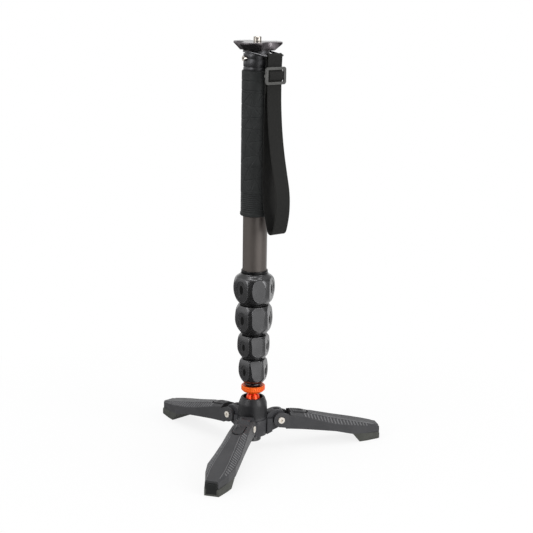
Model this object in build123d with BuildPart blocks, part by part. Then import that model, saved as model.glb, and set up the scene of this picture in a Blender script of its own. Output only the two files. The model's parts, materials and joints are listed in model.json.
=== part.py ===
from build123d import *
import math
import os

# Camera monopod with a three-legged folding foot. Millimetres, +Z up.
# The origin is the point on the ground under the middle of the column.
# One leg points along -Y, and the other two lie 120 degrees to each side.

os.makedirs("parts", exist_ok=True)

# Fits and cutters
running_gap = 0.3  # between curved faces of two pieces that move
face_gap = 0.2  # between flat faces that turn on each other
pin_fit = 0.05  # play of a pin in its bore, measured on the radius
overrun = 1.5  # how far a cutter runs past the face that it cuts

# Column: five round tubes, the widest on top
tube_radii = [14.5, 12.75, 11.0, 9.35, 7.75]
tube_wall = 1.2
tube_top_height = 470.0
tube_top_setback = 8.0
tube_top_step = 4.0

# Twist collars, from the top one down
collar_heights = [36.8, 35.1, 27.9, 30.5]
collar_radii = [25.1, 22.8, 19.7, 17.9]
collar_rise_shares = [0, 0.09, 0.27, 0.5, 0.75, 0.88, 0.945, 1]
collar_outline_shares = [
    [0.715, 0.835, 0.952, 1, 0.955, 0.86, 0.72, 0.655],
    [0.68, 0.79, 0.945, 1, 0.975, 0.935, 0.88, 0.827],
    [0.736, 0.835, 0.963, 1, 0.985, 0.955, 0.92, 0.85],
    [0.6, 0.755, 0.93, 1, 0.985, 0.95, 0.92, 0.82],
]
collar_lip = 3.6
sleeve_wall = 1.6
seal_heights = [3.4, 2.1, 2.1, 2.2]
seal_radii = [15.9, 17.0, 14.2, 13.6]
collet_taper = 0.8
collet_slot = 1.0
collet_slots = 4
bush_height = 50.0
thread_depth = 0.5
thread_pitch = 2.4

# Finger flats of a collar: three narrow smooth ones and three wide dished ones
smooth_flat_azimuths = [-60, 60, 180]
dished_flat_azimuths = [-120, 0, 120]
smooth_flat_depth_share = 0.053
dished_flat_depth_share = 0.115
smooth_flat_bow_share = 2.1
dished_flat_bow_share = 3.6
dish_width_share = 0.3
dish_height_share = 0.27
dish_depth = 0.7
dish_slope = 20  # degrees

# Foot adaptor under the lowest tube
adaptor_top = 82.6
adaptor_flare_radius = 10.4
adaptor_flare_height = 1.6
adaptor_neck_radius = 8.8
adaptor_bottom = 76.3
adaptor_plug_height = 17.0
spigot_radius = 4.0
spigot_top = 92.0

# Orange lock ring and ball stem
lock_ring_radius = 14.5
lock_ring_bottom = 71.9
lock_ring_top = 79.6
lock_ring_dish_radius = 12.4
lock_ring_bevel = 2.2
lock_ring_rim = 0.8
knurl_count = 36
knurl_depth = 0.45
stem_seat_radius = 7.4
stem_seat_top = 76.0
stem_neck_radius = 5.6
stem_flange_top = 67.6
stem_flange_bottom = 62.3
stem_flange_top_radius = 7.0
stem_flange_radius = 9.0
stem_radius = 6.0
ball_radius = 11.0
ball_height = 44.0

# Hub: dome over the ball, pressure ring, seat and preload spring
dome_top = 64.6
dome_bottom = 40.8
dome_mouth_radius = 12.0
dome_rim_radius = 14.6
dome_shoulder_radius = 16.5
dome_shoulder_height = 58.8
dome_radius = 17.2
dome_step_height = 56.6
dome_skirt_radius = 17.7
dome_wall = 3.1
pressure_ring_bottom = 47.6
pressure_ring_top = 52.4
pressure_ring_radius = 13.6
pressure_ring_mouth = 8.4
cavity_radius = 12.9
groove_height = 37.2
groove_radius = 16.4
hub_radius = 17.9
hub_bottom = 17.5
hub_spigot_radius = 13.9
hub_spigot_top = 47.2
hub_bore_radius = 12.2
hub_floor = 21.5
seat_radius = 11.9
seat_bottom = 31.0
seat_top = 40.0
seat_bore_radius = 6.0
spring_wire = 1.6
spring_radius = 8.2
spring_turns = 3.0
spring_foot = 22.6
foot_cap_radius = 10.5
foot_cap_bottom = 9.0
foot_cap_edge = 1.2
cap_screw_radius = 2.5
cap_screw_head_radius = 4.5
cap_screw_head_height = 3.0
cap_screw_length = 13.0
hex_radius = 1.7
hex_depth = 1.6

# Spider arms and leg pivots
leg_azimuths = [-90, 30, 150]
pivot_reach = 33.6
pivot_height = 34.6
tongue_half_width = 7.0
arm_half_width = 10.6
arm_root_reach = 22.6
tongue_nose_radius = 8.6
arm_brow_reach = 36.8
arm_brow_height = 45.2
arm_crown_reach = 27.5
arm_crown_height = 46.3
arm_dimple_reach = 29.5
arm_dimple_length = 8.0
arm_dimple_width = 5.0
arm_dimple_depth = 0.9
arm_back_height = 41.5
arm_back_reach = 16.0
arm_belly_reach = 30.5
arm_belly_height = 24.2
bolt_radius = 3.0
bolt_head_radius = 4.0
bolt_head_height = 1.3
bolt_head_edge = 0.4

# Release button in the root of each leg: flat at its root, round at its end
button_root_reach = 49.2
button_length = 19.0
button_half_width = 6.2
button_floor_height = 33.0
button_proud = 0.3
button_groove_side = 1.4
button_groove_end = 2.4
button_groove_depth = 1.9
button_dish_reach = 57.0
button_dish_half_length = 6.6
button_dish_half_width = 3.6
button_dish_depth = 1.0
button_spring_room = 4.0
button_spring_radius = 2.2
button_spring_wire = 0.6
button_spring_turns = 2.5

# Legs
leg_root_reach = 42.0
leg_tip_reach = 161.0
leg_half_width = 17.0
leg_ridge_half_width = 8.5
leg_ridge_root_height = 45.0
leg_ridge_tip_height = 18.0
leg_edge_root_height = 42.0
leg_edge_tip_height = 16.0
leg_under_root_height = 23.0
leg_under_tip_height = 8.6
leg_station_shares = [0, 0.151, 0.336, 0.513, 0.697, 0.84, 1]
leg_edge_width_shares = [0.665, 0.735, 0.83, 0.94, 1, 0.82, 0.465]
leg_ridge_width_shares = [0.5, 0.59, 0.71, 0.84, 1, 1.02, 0.8]
leg_ridge_rise_shares = [1, 0.9, 0.696, 0.5, 0.315, 0.167, 0]
leg_edge_rise_shares = [1, 0.846, 0.577, 0.365, 0.25, 0.135, 0]
leg_under_rise_shares = [1, 0.896, 0.722, 0.549, 0.201, 0.106, 0]
leg_wall = 2.2
cavity_station_shares = [0, 0.18, 0.45, 0.73, 1]
cavity_root_reach = 76.0
cavity_tip_reach = 124.0
cheek_radius = 9.3
cheek_half_width = 11.5
cheek_notch_width = 1.4
cheek_notch_depth = 2.4
cheek_step_reach = 40.0
plate_end_reach = 46.6
cheek_gap = 0.3

# Rubber shoes
shoe_tip_proud = 1.5
shoe_sole_length = 28.0
shoe_heel_lead = 8.5
shoe_heel_half_width = 16.6
shoe_waist_share = 0.5
shoe_waist_half_width = 13.6
shoe_tip_half_width = 8.4
shoe_face_half_width = 6.4
shoe_face_height = 15.4
shoe_face_thickness = 1.2
shoe_edge = 0.8

# Hand grip
tube_bare = 66.7
grip_wall = 3.2
grip_lip = 0.4
grip_lip_height = 4.0
grip_rib_height = 29.0
grip_rib_pitch = 2.4
grip_groove = 0.5
grip_band_drops = [23.0, 12.0]

# Neck and head plate
neck_lap = 9.0
neck_height = 23.0
neck_wall = 1.5
neck_groove_height = 4.0
neck_ring_groove = 1.0
neck_ring_shares = [0.1522, 0.5652]
neck_plug_depth = 14.0
set_screw_azimuth = -134
set_screw_share = 0.6087
set_screw_radius = 3.2
set_screw_proud = 2.6
set_screw_depth = 4.0
plate_thickness = 9.6
plate_radius = 29.2
plate_rim = 2.2
plate_waist_radius = 20.6
plate_scoop_azimuths = [-30, 90, 210]
plate_scoop_radius = 18.8
plate_scoop_inner = 16.0
plate_edge = 0.5
stud_radius = 4.7625
stud_height = 5.7
stud_relief = 0.5
stud_shank_radius = 4.0
stud_recess_gap = 0.3
stud_recess_depth = 0.8
stud_edge = 0.7
stud_slot = 1.3
stud_slot_depth = 1.5
stud_anchor_radius = 7.0
stud_anchor_height = 5.0
stud_anchor_depth = 4.0

# Strap ring, wrist strap and buckle, in a frame turned about the column
strap_azimuth = -37.8
strap_offset = 6.0
ring_wire = 1.2
ring_gap = 0.3
ring_loop_inset = 0.4
ring_bar_clear = 6.8
ring_bar_half = 12.0
ring_bar_drop = 3.6
strap_width = 20.0
strap_thickness = 1.4
fold_radius = 2.2
buckle_drop = 22.5
buckle_height = 20.0
buckle_width = 28.5
buckle_bar = 3.2
buckle_side = 3.2
buckle_clear = 9.2
buckle_thickness = 2.4
buckle_centre_clear = 7.8
buckle_centre_thickness = 1.2
buckle_edge = 0.8

# The way of the webbing: out from the grip's side and down from the ring's bar, from the sewn end
strap_route = [
    (2.8, 26.9),
    (2.8, 53.9),
    (1.5, 83.9),
    (1.4, 128.9),
    (1.6, 160.9),
    (4.7, 180.9),
    (9.9, 195.9),
    (12.7, 205.5),
    (20.9, 205.5),
    (24.7, 194.9),
    (28.2, 177.9),
    (27.9, 156.9),
    (22.5, 136.9),
    (15.5, 110.9),
    (10.7, 82.9),
    (8.3, 54.9),
    (8.1, 29.5),
    (10.2, 24.9),
    (10.2, 20.1),
    (8.1, 15.5),
]


# Heights worked out from the bottom of the column up
collar_bottoms = [0, 0, 0, adaptor_top + face_gap]
seal_bottoms = [0, 0, 0, 0]
for step in (3, 2, 1, 0):
    seal_bottoms[step] = collar_bottoms[step] + collar_heights[step] + face_gap
    if step:
        collar_bottoms[step - 1] = seal_bottoms[step] + seal_heights[step] + face_gap


def collar_top(step):
    return collar_bottoms[step] + collar_heights[step]


def sleeve_radius(step):
    return tube_radii[step] + sleeve_wall


def sleeve_bottom(step):
    return collar_bottoms[step] + collar_heights[step] * 0.5


def sleeve_top(step):
    return collar_top(step) - collar_lip - face_gap


def tube_bottom(step):
    return adaptor_top if step == 4 else sleeve_bottom(step)


def tube_top(step):
    if step == 0:
        return tube_top_height
    return tube_top_height - tube_top_setback - tube_top_step * step


def ring_piece(inner, outer, bottom, top):
    """A plain ring about the column."""
    with BuildPart() as ring:
        with BuildSketch(Plane.XY.offset(bottom)):
            Circle(outer)
            Circle(inner, mode=Mode.SUBTRACT)
        extrude(amount=top - bottom)
    return ring


def turned(points):
    """A solid of revolution from an outline in reach and height."""
    with BuildPart() as shape:
        with BuildSketch(Plane.XZ):
            with BuildLine():
                Polyline(*points, close=True)
            make_face()
        revolve(axis=Axis.Z)
    return shape


def placed(shape, azimuth):
    """The same solid turned about the column."""
    with BuildPart() as copy:
        add(shape.part, rotation=(0, 0, azimuth))
    return copy


def save(shape, name):
    shape.part.label = name
    export_step(shape.part, f"parts/{name}.step")


def coil(radius, wire, pitch, turns, foot, reach):
    """A helical spring of round wire, standing on a height."""
    with BuildPart() as spring:
        with BuildLine():
            path = Helix(pitch, pitch * turns, radius, center=(reach, 0, foot + wire / 2))
        with BuildSketch(Plane(origin=path @ 0, z_dir=path % 0)):
            Circle(wire / 2)
        sweep(path=path)
    return spring


# Tubes. Each inner tube carries a guide bush on its top end.
for step in range(5):
    tube = ring_piece(
        tube_radii[step] - tube_wall, tube_radii[step], tube_bottom(step), tube_top(step)
    )
    save(tube, f"tube_{step + 1}")

for step in range(1, 5):
    bush_outer = tube_radii[step - 1] - tube_wall - running_gap
    bush = ring_piece(tube_radii[step], bush_outer, tube_top(step) - bush_height, tube_top(step))
    save(bush, f"guide_bush_{step + 1}")


def flat_cutter(step, azimuth, depth_share, bow_share):
    """Cuts one finger flat, bowed from top to bottom, out of a collar."""
    radius = collar_radii[step]
    middle = collar_bottoms[step] + collar_heights[step] * 0.52
    half = collar_heights[step]
    near = radius * (1 - depth_share)
    sag = half * half / (2 * radius * bow_share)
    radial = Plane(origin=(0, 0, middle), x_dir=(1, 0, 0), z_dir=(0, -1, 0))
    with BuildPart() as cutter:
        with BuildSketch(radial):
            with BuildLine():
                ThreePointArc((near - sag, -half), (near, 0), (near - sag, half))
                Polyline((near - sag, half), (radius * 2, half), (radius * 2, -half), (near - sag, -half))
            make_face()
        extrude(amount=radius, both=True)
    return placed(cutter, azimuth)


def dish_cutter(step, azimuth):
    """Cuts the shallow oval dish in the middle of a wide flat."""
    radius = collar_radii[step]
    middle = collar_bottoms[step] + collar_heights[step] * 0.52
    near = radius * (1 - dished_flat_depth_share) - dish_depth
    face = Plane(origin=(near, 0, middle), x_dir=(0, 1, 0), z_dir=(1, 0, 0))
    with BuildPart() as cutter:
        with BuildSketch(face):
            Ellipse(radius * dish_width_share, collar_heights[step] * dish_height_share)
        extrude(amount=radius, taper=-dish_slope)
    return placed(cutter, azimuth)


# Twist collars with their seal rings, thread sleeves and collets
for step in range(4):
    low = collar_bottoms[step]
    high = collar_top(step)
    bore = sleeve_radius(step) + running_gap
    outline = [
        (collar_radii[step] * wide, low + collar_heights[step] * rise)
        for wide, rise in zip(collar_outline_shares[step], collar_rise_shares)
    ]
    top_hole = tube_radii[step] + running_gap
    low_hole = tube_radii[step + 1] + running_gap
    with BuildPart() as collar:
        with BuildSketch(Plane.XZ):
            with BuildLine():
                Spline(*outline)
                Polyline(outline[-1], (0, high), (0, low), outline[0])
            make_face()
        revolve(axis=Axis.Z)
        for azimuth in smooth_flat_azimuths:
            cutter = flat_cutter(step, azimuth, smooth_flat_depth_share, smooth_flat_bow_share)
            add(cutter.part, mode=Mode.SUBTRACT)
        for azimuth in dished_flat_azimuths:
            cutter = flat_cutter(step, azimuth, dished_flat_depth_share, dished_flat_bow_share)
            add(cutter.part, mode=Mode.SUBTRACT)
            add(dish_cutter(step, azimuth).part, mode=Mode.SUBTRACT)
        with BuildSketch(Plane.XY.offset(low - overrun)):
            Circle(low_hole)
        extrude(amount=collar_heights[step], mode=Mode.SUBTRACT)
        with BuildSketch(Plane.XY.offset(low + collar_lip)):
            Circle(bore)
        extrude(amount=high - low - collar_lip * 2, mode=Mode.SUBTRACT)
        with BuildSketch(Plane.XY.offset(high + overrun)):
            Circle(top_hole)
        extrude(amount=-collar_lip - overrun * 2, mode=Mode.SUBTRACT)
    save(collar, f"twist_collar_{step + 1}")

    seal = ring_piece(
        tube_radii[step], seal_radii[step], seal_bottoms[step],
        seal_bottoms[step] + seal_heights[step],
    )
    save(seal, f"seal_ring_{step + 1}")

    foot = sleeve_bottom(step)
    with BuildPart() as sleeve:
        with BuildSketch(Plane.XY.offset(foot)):
            Circle(sleeve_radius(step))
            Circle(tube_radii[step], mode=Mode.SUBTRACT)
        extrude(amount=sleeve_top(step) - foot)
        for turn in range(4):
            with BuildSketch(Plane.XY.offset(foot + thread_pitch * (turn + 0.6))):
                Circle(sleeve_radius(step) + overrun)
                Circle(sleeve_radius(step) - thread_depth, mode=Mode.SUBTRACT)
            extrude(amount=thread_pitch / 2, mode=Mode.SUBTRACT)
    save(sleeve, f"thread_sleeve_{step + 1}")

    grip_face = tube_radii[step + 1] + running_gap
    collet_low = low + collar_lip + face_gap
    collet = turned([
        (grip_face, collet_low),
        (bore - running_gap - collet_taper, collet_low),
        (bore - running_gap, collet_low + collet_taper * 3),
        (bore - running_gap, foot),
        (grip_face, foot),
    ])
    with BuildPart() as split_collet:
        add(collet.part)
        with BuildSketch(Plane.XY.offset(collet_low - overrun)):
            with PolarLocations(bore / 2 + collet_slot, collet_slots):
                Rectangle(bore, collet_slot)
        extrude(amount=(foot - collet_low) * 0.7 + overrun, mode=Mode.SUBTRACT)
    save(split_collet, f"collet_{step + 1}")

# Foot adaptor: plugs the lowest tube and turns on the stem's spigot
adaptor = turned([
    (spigot_radius + pin_fit, adaptor_bottom),
    (adaptor_neck_radius, adaptor_bottom),
    (adaptor_neck_radius, adaptor_top - adaptor_flare_height * 2),
    (adaptor_flare_radius, adaptor_top - adaptor_flare_height),
    (adaptor_flare_radius, adaptor_top),
    (tube_radii[4] - tube_wall, adaptor_top),
    (tube_radii[4] - tube_wall, adaptor_top + adaptor_plug_height),
    (spigot_radius + pin_fit, adaptor_top + adaptor_plug_height),
])
save(adaptor, "foot_adaptor")

# Ball stem: ball, stem, flange, seat for the lock ring and spigot
stem_outline_top = ball_height + math.sqrt(ball_radius**2 - stem_radius**2)
with BuildPart() as ball_stem:
    with BuildSketch(Plane.XZ):
        with BuildLine():
            ThreePointArc(
                (0, ball_height - ball_radius),
                (ball_radius, ball_height),
                (stem_radius, stem_outline_top),
            )
            Polyline(
                (stem_radius, stem_outline_top),
                (stem_radius, stem_flange_bottom - lock_ring_rim),
                (stem_flange_radius, stem_flange_bottom),
                (stem_flange_top_radius, stem_flange_top),
                (stem_neck_radius, stem_flange_top),
                (stem_neck_radius, lock_ring_bottom - lock_ring_rim),
                (stem_seat_radius, lock_ring_bottom),
                (stem_seat_radius, stem_seat_top),
                (spigot_radius, stem_seat_top),
                (spigot_radius, spigot_top),
                (0, spigot_top),
                (0, ball_height - ball_radius),
            )
        make_face()
    revolve(axis=Axis.Z)
save(ball_stem, "ball_stem")

# Orange lock ring with a dished top and a knurled edge
ring_bore = stem_seat_radius + running_gap
ring_dish_low = adaptor_bottom - face_gap
lock_blank = turned([
    (ring_bore, lock_ring_bottom),
    (lock_ring_radius - lock_ring_bevel, lock_ring_bottom),
    (lock_ring_radius, lock_ring_bottom + lock_ring_bevel),
    (lock_ring_radius, lock_ring_top - lock_ring_rim),
    (lock_ring_radius - lock_ring_rim, lock_ring_top),
    (lock_ring_dish_radius, lock_ring_top),
    (adaptor_neck_radius + running_gap, ring_dish_low),
    (ring_bore, ring_dish_low),
])
with BuildPart() as lock_ring:
    add(lock_blank.part)
    with BuildSketch(Plane.XY.offset(lock_ring_bottom + lock_ring_bevel)):
        with PolarLocations(lock_ring_radius, knurl_count):
            Circle(knurl_depth)
    extrude(amount=lock_ring_top - lock_ring_bottom, mode=Mode.SUBTRACT)
save(lock_ring, "lock_ring")

# Dome: the tension collar over the ball
dome_bore = hub_spigot_radius + running_gap
dome = turned([
    (dome_bore, dome_bottom),
    (dome_skirt_radius, dome_bottom),
    (dome_skirt_radius, dome_bottom + dome_wall * 2),
    (dome_radius, dome_step_height),
    (dome_shoulder_radius, dome_shoulder_height),
    (dome_rim_radius, dome_top - lock_ring_rim),
    (dome_rim_radius - lock_ring_rim, dome_top),
    (dome_mouth_radius, dome_top),
    (dome_mouth_radius, dome_top - dome_wall / 2),
    (cavity_radius, dome_top - dome_wall),
    (cavity_radius, pressure_ring_top + face_gap),
    (dome_bore, pressure_ring_top + face_gap),
])
save(dome, "hub_dome")

# Pressure ring on top of the ball
grip_radius_inside = ball_radius + running_gap
ring_low_bore = math.sqrt(
    grip_radius_inside**2 - (pressure_ring_bottom - ball_height)**2
)
ring_high_bore = math.sqrt(grip_radius_inside**2 - (pressure_ring_top - ball_height)**2)
with BuildPart() as pressure_ring:
    with BuildSketch(Plane.XY.offset(pressure_ring_bottom)):
        Circle(pressure_ring_radius)
    extrude(amount=pressure_ring_top - pressure_ring_bottom)
    with Locations((0, 0, ball_height)):
        Sphere(grip_radius_inside, mode=Mode.SUBTRACT)
    with BuildSketch(Plane.XY.offset(pressure_ring_top + overrun)):
        Circle(pressure_ring_mouth)
    extrude(amount=-(pressure_ring_top - pressure_ring_bottom) - overrun * 2, mode=Mode.SUBTRACT)
save(pressure_ring, "pressure_ring")

# Seat under the ball
with BuildPart() as ball_seat:
    with BuildSketch(Plane.XY.offset(seat_bottom)):
        Circle(seat_radius)
        Circle(seat_bore_radius, mode=Mode.SUBTRACT)
    extrude(amount=seat_top - seat_bottom)
    with Locations((0, 0, ball_height)):
        Sphere(grip_radius_inside, mode=Mode.SUBTRACT)
save(ball_seat, "ball_seat")

# Preload spring under the seat
spring_pitch = (seat_bottom - face_gap - spring_foot - spring_wire) / spring_turns
preload_spring = coil(spring_radius, spring_wire, spring_pitch, spring_turns, spring_foot, 0)
save(preload_spring, "preload_spring")
print("preload spring gap between turns", round(spring_pitch - spring_wire, 2))

# Hub spider with three arms
side_view = Plane(origin=(0, 0, 0), x_dir=(1, 0, 0), z_dir=(0, -1, 0))
with BuildPart() as arm:
    with BuildSketch(side_view):
        with BuildLine():
            ThreePointArc(
                (arm_back_reach, arm_back_height),
                (arm_crown_reach, arm_crown_height),
                (arm_brow_reach, arm_brow_height),
            )
            Line(
                (arm_brow_reach, arm_brow_height),
                (pivot_reach + tongue_nose_radius * 0.8, pivot_height + tongue_nose_radius * 0.6),
            )
            ThreePointArc(
                (pivot_reach + tongue_nose_radius * 0.8, pivot_height + tongue_nose_radius * 0.6),
                (pivot_reach + tongue_nose_radius, pivot_height),
                (pivot_reach, pivot_height - tongue_nose_radius),
            )
            Polyline(
                (pivot_reach, pivot_height - tongue_nose_radius),
                (arm_belly_reach, arm_belly_height - face_gap),
                (arm_root_reach, hub_bottom + dome_wall),
                (arm_back_reach, hub_bottom),
                (arm_back_reach, arm_back_height),
            )
        make_face()
    extrude(amount=tongue_half_width, both=True)
    with BuildSketch(side_view):
        with BuildLine():
            Polyline(
                (arm_back_reach, groove_height),
                (arm_root_reach, groove_height),
                (arm_root_reach, hub_bottom + dome_wall),
                (arm_back_reach, hub_bottom),
                close=True,
            )
        make_face()
    extrude(amount=arm_half_width, both=True)
    with BuildSketch(Plane.XY.offset(dome_bottom - face_gap * 2)):
        Circle(dome_skirt_radius + running_gap * 2)
    extrude(amount=dome_top, mode=Mode.SUBTRACT)
    with BuildSketch(side_view):
        with Locations((pivot_reach, pivot_height)):
            Circle(bolt_radius)
    extrude(amount=arm_half_width, both=True, mode=Mode.SUBTRACT)
    with BuildSketch(Plane.XY.offset(arm_crown_height - arm_dimple_depth)):
        with Locations((arm_dimple_reach, 0)):
            SlotOverall(arm_dimple_length, arm_dimple_width)
    extrude(amount=arm_dimple_depth * 2, mode=Mode.SUBTRACT)

with BuildPart() as hub_spider:
    with BuildSketch(Plane.XZ):
        with BuildLine():
            Polyline(
                (0, hub_bottom),
                (hub_radius, hub_bottom),
                (hub_radius, groove_height),
                (groove_radius, groove_height),
                (groove_radius, dome_bottom - face_gap),
                (hub_spigot_radius, dome_bottom - face_gap),
                (hub_spigot_radius, hub_spigot_top),
                (0, hub_spigot_top),
                close=True,
            )
        make_face()
    revolve(axis=Axis.Z)
    for azimuth in leg_azimuths:
        add(arm.part, rotation=(0, 0, azimuth))
    with BuildSketch(Plane.XY.offset(hub_floor)):
        Circle(hub_bore_radius)
    extrude(amount=hub_spigot_top, mode=Mode.SUBTRACT)
    with BuildSketch(Plane.XY.offset(hub_bottom - overrun)):
        Circle(cap_screw_radius)
    extrude(amount=hub_bottom, mode=Mode.SUBTRACT)
save(hub_spider, "hub_spider")

# Foot cap under the hub, held by one screw
with BuildPart() as foot_cap:
    with BuildSketch(Plane.XY.offset(foot_cap_bottom)):
        Circle(foot_cap_radius)
    extrude(amount=hub_bottom - foot_cap_bottom)
    fillet(foot_cap.faces().sort_by(Axis.Z)[0].edges(), foot_cap_edge)
    with BuildSketch(Plane.XY.offset(foot_cap_bottom - overrun)):
        Circle(cap_screw_head_radius + running_gap)
    extrude(amount=cap_screw_head_height + overrun * 2, mode=Mode.SUBTRACT)
    with BuildSketch(Plane.XY.offset(foot_cap_bottom)):
        Circle(cap_screw_radius)
    extrude(amount=hub_bottom, mode=Mode.SUBTRACT)
save(foot_cap, "foot_cap")

screw_seat = foot_cap_bottom + overrun + cap_screw_head_height
with BuildPart() as cap_screw:
    with BuildSketch(Plane.XY.offset(screw_seat - cap_screw_head_height)):
        Circle(cap_screw_head_radius)
    extrude(amount=cap_screw_head_height)
    with BuildSketch(Plane.XY.offset(screw_seat)):
        Circle(cap_screw_radius)
    extrude(amount=hub_floor - screw_seat)
    with BuildSketch(Plane.XY.offset(screw_seat - cap_screw_head_height)):
        RegularPolygon(hex_radius, 6)
    extrude(amount=hex_depth, mode=Mode.SUBTRACT)
save(cap_screw, "cap_screw")

# Pivot bolts, and the sleeve nuts that close them on the other side
bolt_plane = Plane(origin=(pivot_reach, 0, pivot_height), x_dir=(1, 0, 0), z_dir=(0, -1, 0))
head_seat = cheek_half_width + face_gap


def headed_pin(name, shank_end):
    with BuildPart() as pin:
        with BuildSketch(bolt_plane.offset(head_seat)):
            Circle(bolt_head_radius)
        extrude(amount=bolt_head_height)
        fillet(pin.faces().sort_by(Axis.Y)[0].edges(), bolt_head_edge)
        with BuildSketch(bolt_plane.offset(head_seat)):
            Circle(bolt_radius)
        extrude(amount=-(head_seat - shank_end))
        with BuildSketch(bolt_plane.offset(head_seat + bolt_head_height)):
            RegularPolygon(hex_radius, 6)
        extrude(amount=-hex_depth, mode=Mode.SUBTRACT)
    return pin


bolt = headed_pin("bolt", 0)
with BuildPart() as pivot_bolts:
    for azimuth in leg_azimuths:
        add(bolt.part, rotation=(0, 0, azimuth))
save(pivot_bolts, "pivot_bolts")

with BuildPart() as nut:
    add(mirror(bolt.part, about=Plane.XZ, mode=Mode.PRIVATE))
with BuildPart() as pivot_nuts:
    for azimuth in leg_azimuths:
        add(nut.part, rotation=(0, 0, azimuth))
save(pivot_nuts, "pivot_nuts")

def leg_station(reach, half_edge, half_ridge, ridge, edge, under):
    """One six-sided cross section of a leg, square to its length."""
    with BuildSketch(Plane(origin=(reach, 0, 0), x_dir=(0, 1, 0), z_dir=(1, 0, 0))) as section:
        with BuildLine():
            Polyline(
                (-half_edge, under), (-half_edge, edge), (-half_ridge, ridge),
                (half_ridge, ridge), (half_edge, edge), (half_edge, under),
                close=True,
            )
        make_face()
    return section


def between(low, high, share):
    return low + (high - low) * share


def leg_sizes(reach):
    """Cross-section sizes of a leg at a reach, between its stations."""
    share = (reach - leg_root_reach) / (leg_tip_reach - leg_root_reach)
    tables = [
        leg_edge_width_shares, leg_ridge_width_shares, leg_ridge_rise_shares,
        leg_edge_rise_shares, leg_under_rise_shares,
    ]
    last = len(leg_station_shares) - 2
    spot = max(0, min(last, sum(share > mark for mark in leg_station_shares) - 1))
    low, high = leg_station_shares[spot], leg_station_shares[spot + 1]
    part = (share - low) / (high - low)
    found = [between(table[spot], table[spot + 1], part) for table in tables]
    return (
        leg_half_width * found[0],
        leg_ridge_half_width * found[1],
        between(leg_ridge_tip_height, leg_ridge_root_height, found[2]),
        between(leg_edge_tip_height, leg_edge_root_height, found[3]),
        between(leg_under_tip_height, leg_under_root_height, found[4]),
    )


# Release button: a plan outline, cut to the leg's own outer form, with a dish on top
def button_plan(side_gap, end_gap, root_gap):
    """A tall prism over the button's outline, grown by the gaps around it."""
    half = button_half_width + side_gap
    centre = button_root_reach + button_length - button_half_width
    root = button_root_reach - root_gap
    with BuildPart() as prism:
        with BuildSketch(Plane.XY):
            with BuildLine():
                Polyline((centre, -half), (root, -half), (root, half), (centre, half))
                ThreePointArc(
                    (centre, half), (centre + button_half_width + end_gap, 0), (centre, -half)
                )
            make_face()
        extrude(amount=leg_ridge_root_height * 2)
    return prism


with BuildPart() as leg_blank:
    for share in leg_station_shares:
        reach = between(leg_root_reach, leg_tip_reach, share)
        half_edge, half_ridge, ridge, edge, under = leg_sizes(reach)
        section = leg_station(reach, half_edge, half_ridge, ridge, edge, under)
        add(section.sketch)
    loft(ruled=True)

button_end_reach = button_root_reach + button_length
root_crest = leg_sizes(button_root_reach)[2]
end_crest = leg_sizes(button_end_reach)[2]
dish_crest = leg_sizes(button_dish_reach)[2]
button_slope = math.atan2(root_crest - end_crest, button_length)
button_low = button_floor_height + button_spring_room
with BuildPart() as button:
    with BuildSketch(Plane.XY.offset(button_low)):
        with Locations((button_dish_reach, 0)):
            Rectangle(button_length * 3, button_half_width * 3)
    extrude(amount=leg_ridge_root_height)
    add(button_plan(0, 0, 0).part, mode=Mode.INTERSECT)
    add(leg_blank.part.moved(Location((0, 0, button_proud))), mode=Mode.INTERSECT)
    dish_plane = Plane(
        origin=(button_dish_reach, 0, dish_crest + button_proud - button_dish_depth),
        x_dir=(math.cos(button_slope), 0, -math.sin(button_slope)),
        z_dir=(math.sin(button_slope), 0, math.cos(button_slope)),
    )
    with BuildSketch(dish_plane):
        Ellipse(button_dish_half_length, button_dish_half_width)
    extrude(amount=button_length, taper=-dish_slope, mode=Mode.SUBTRACT)

with BuildPart() as button_groove:
    with BuildSketch(side_view):
        with BuildLine():
            Polyline(
                (button_root_reach, root_crest - button_groove_depth),
                (button_end_reach + button_groove_end, end_crest - button_groove_depth),
                (button_end_reach + button_groove_end, leg_ridge_root_height * 2),
                (button_root_reach, leg_ridge_root_height * 2),
                close=True,
            )
        make_face()
    extrude(amount=leg_half_width, both=True)
    add(button_plan(button_groove_side, button_groove_end, 0).part, mode=Mode.INTERSECT)

button_spring_pitch = (button_spring_room - face_gap - button_spring_wire) / button_spring_turns
button_spring = coil(
    button_spring_radius, button_spring_wire, button_spring_pitch,
    button_spring_turns, button_floor_height + face_gap / 2, button_dish_reach,
)
print("button spring gap between turns", round(button_spring_pitch - button_spring_wire, 2))

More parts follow.
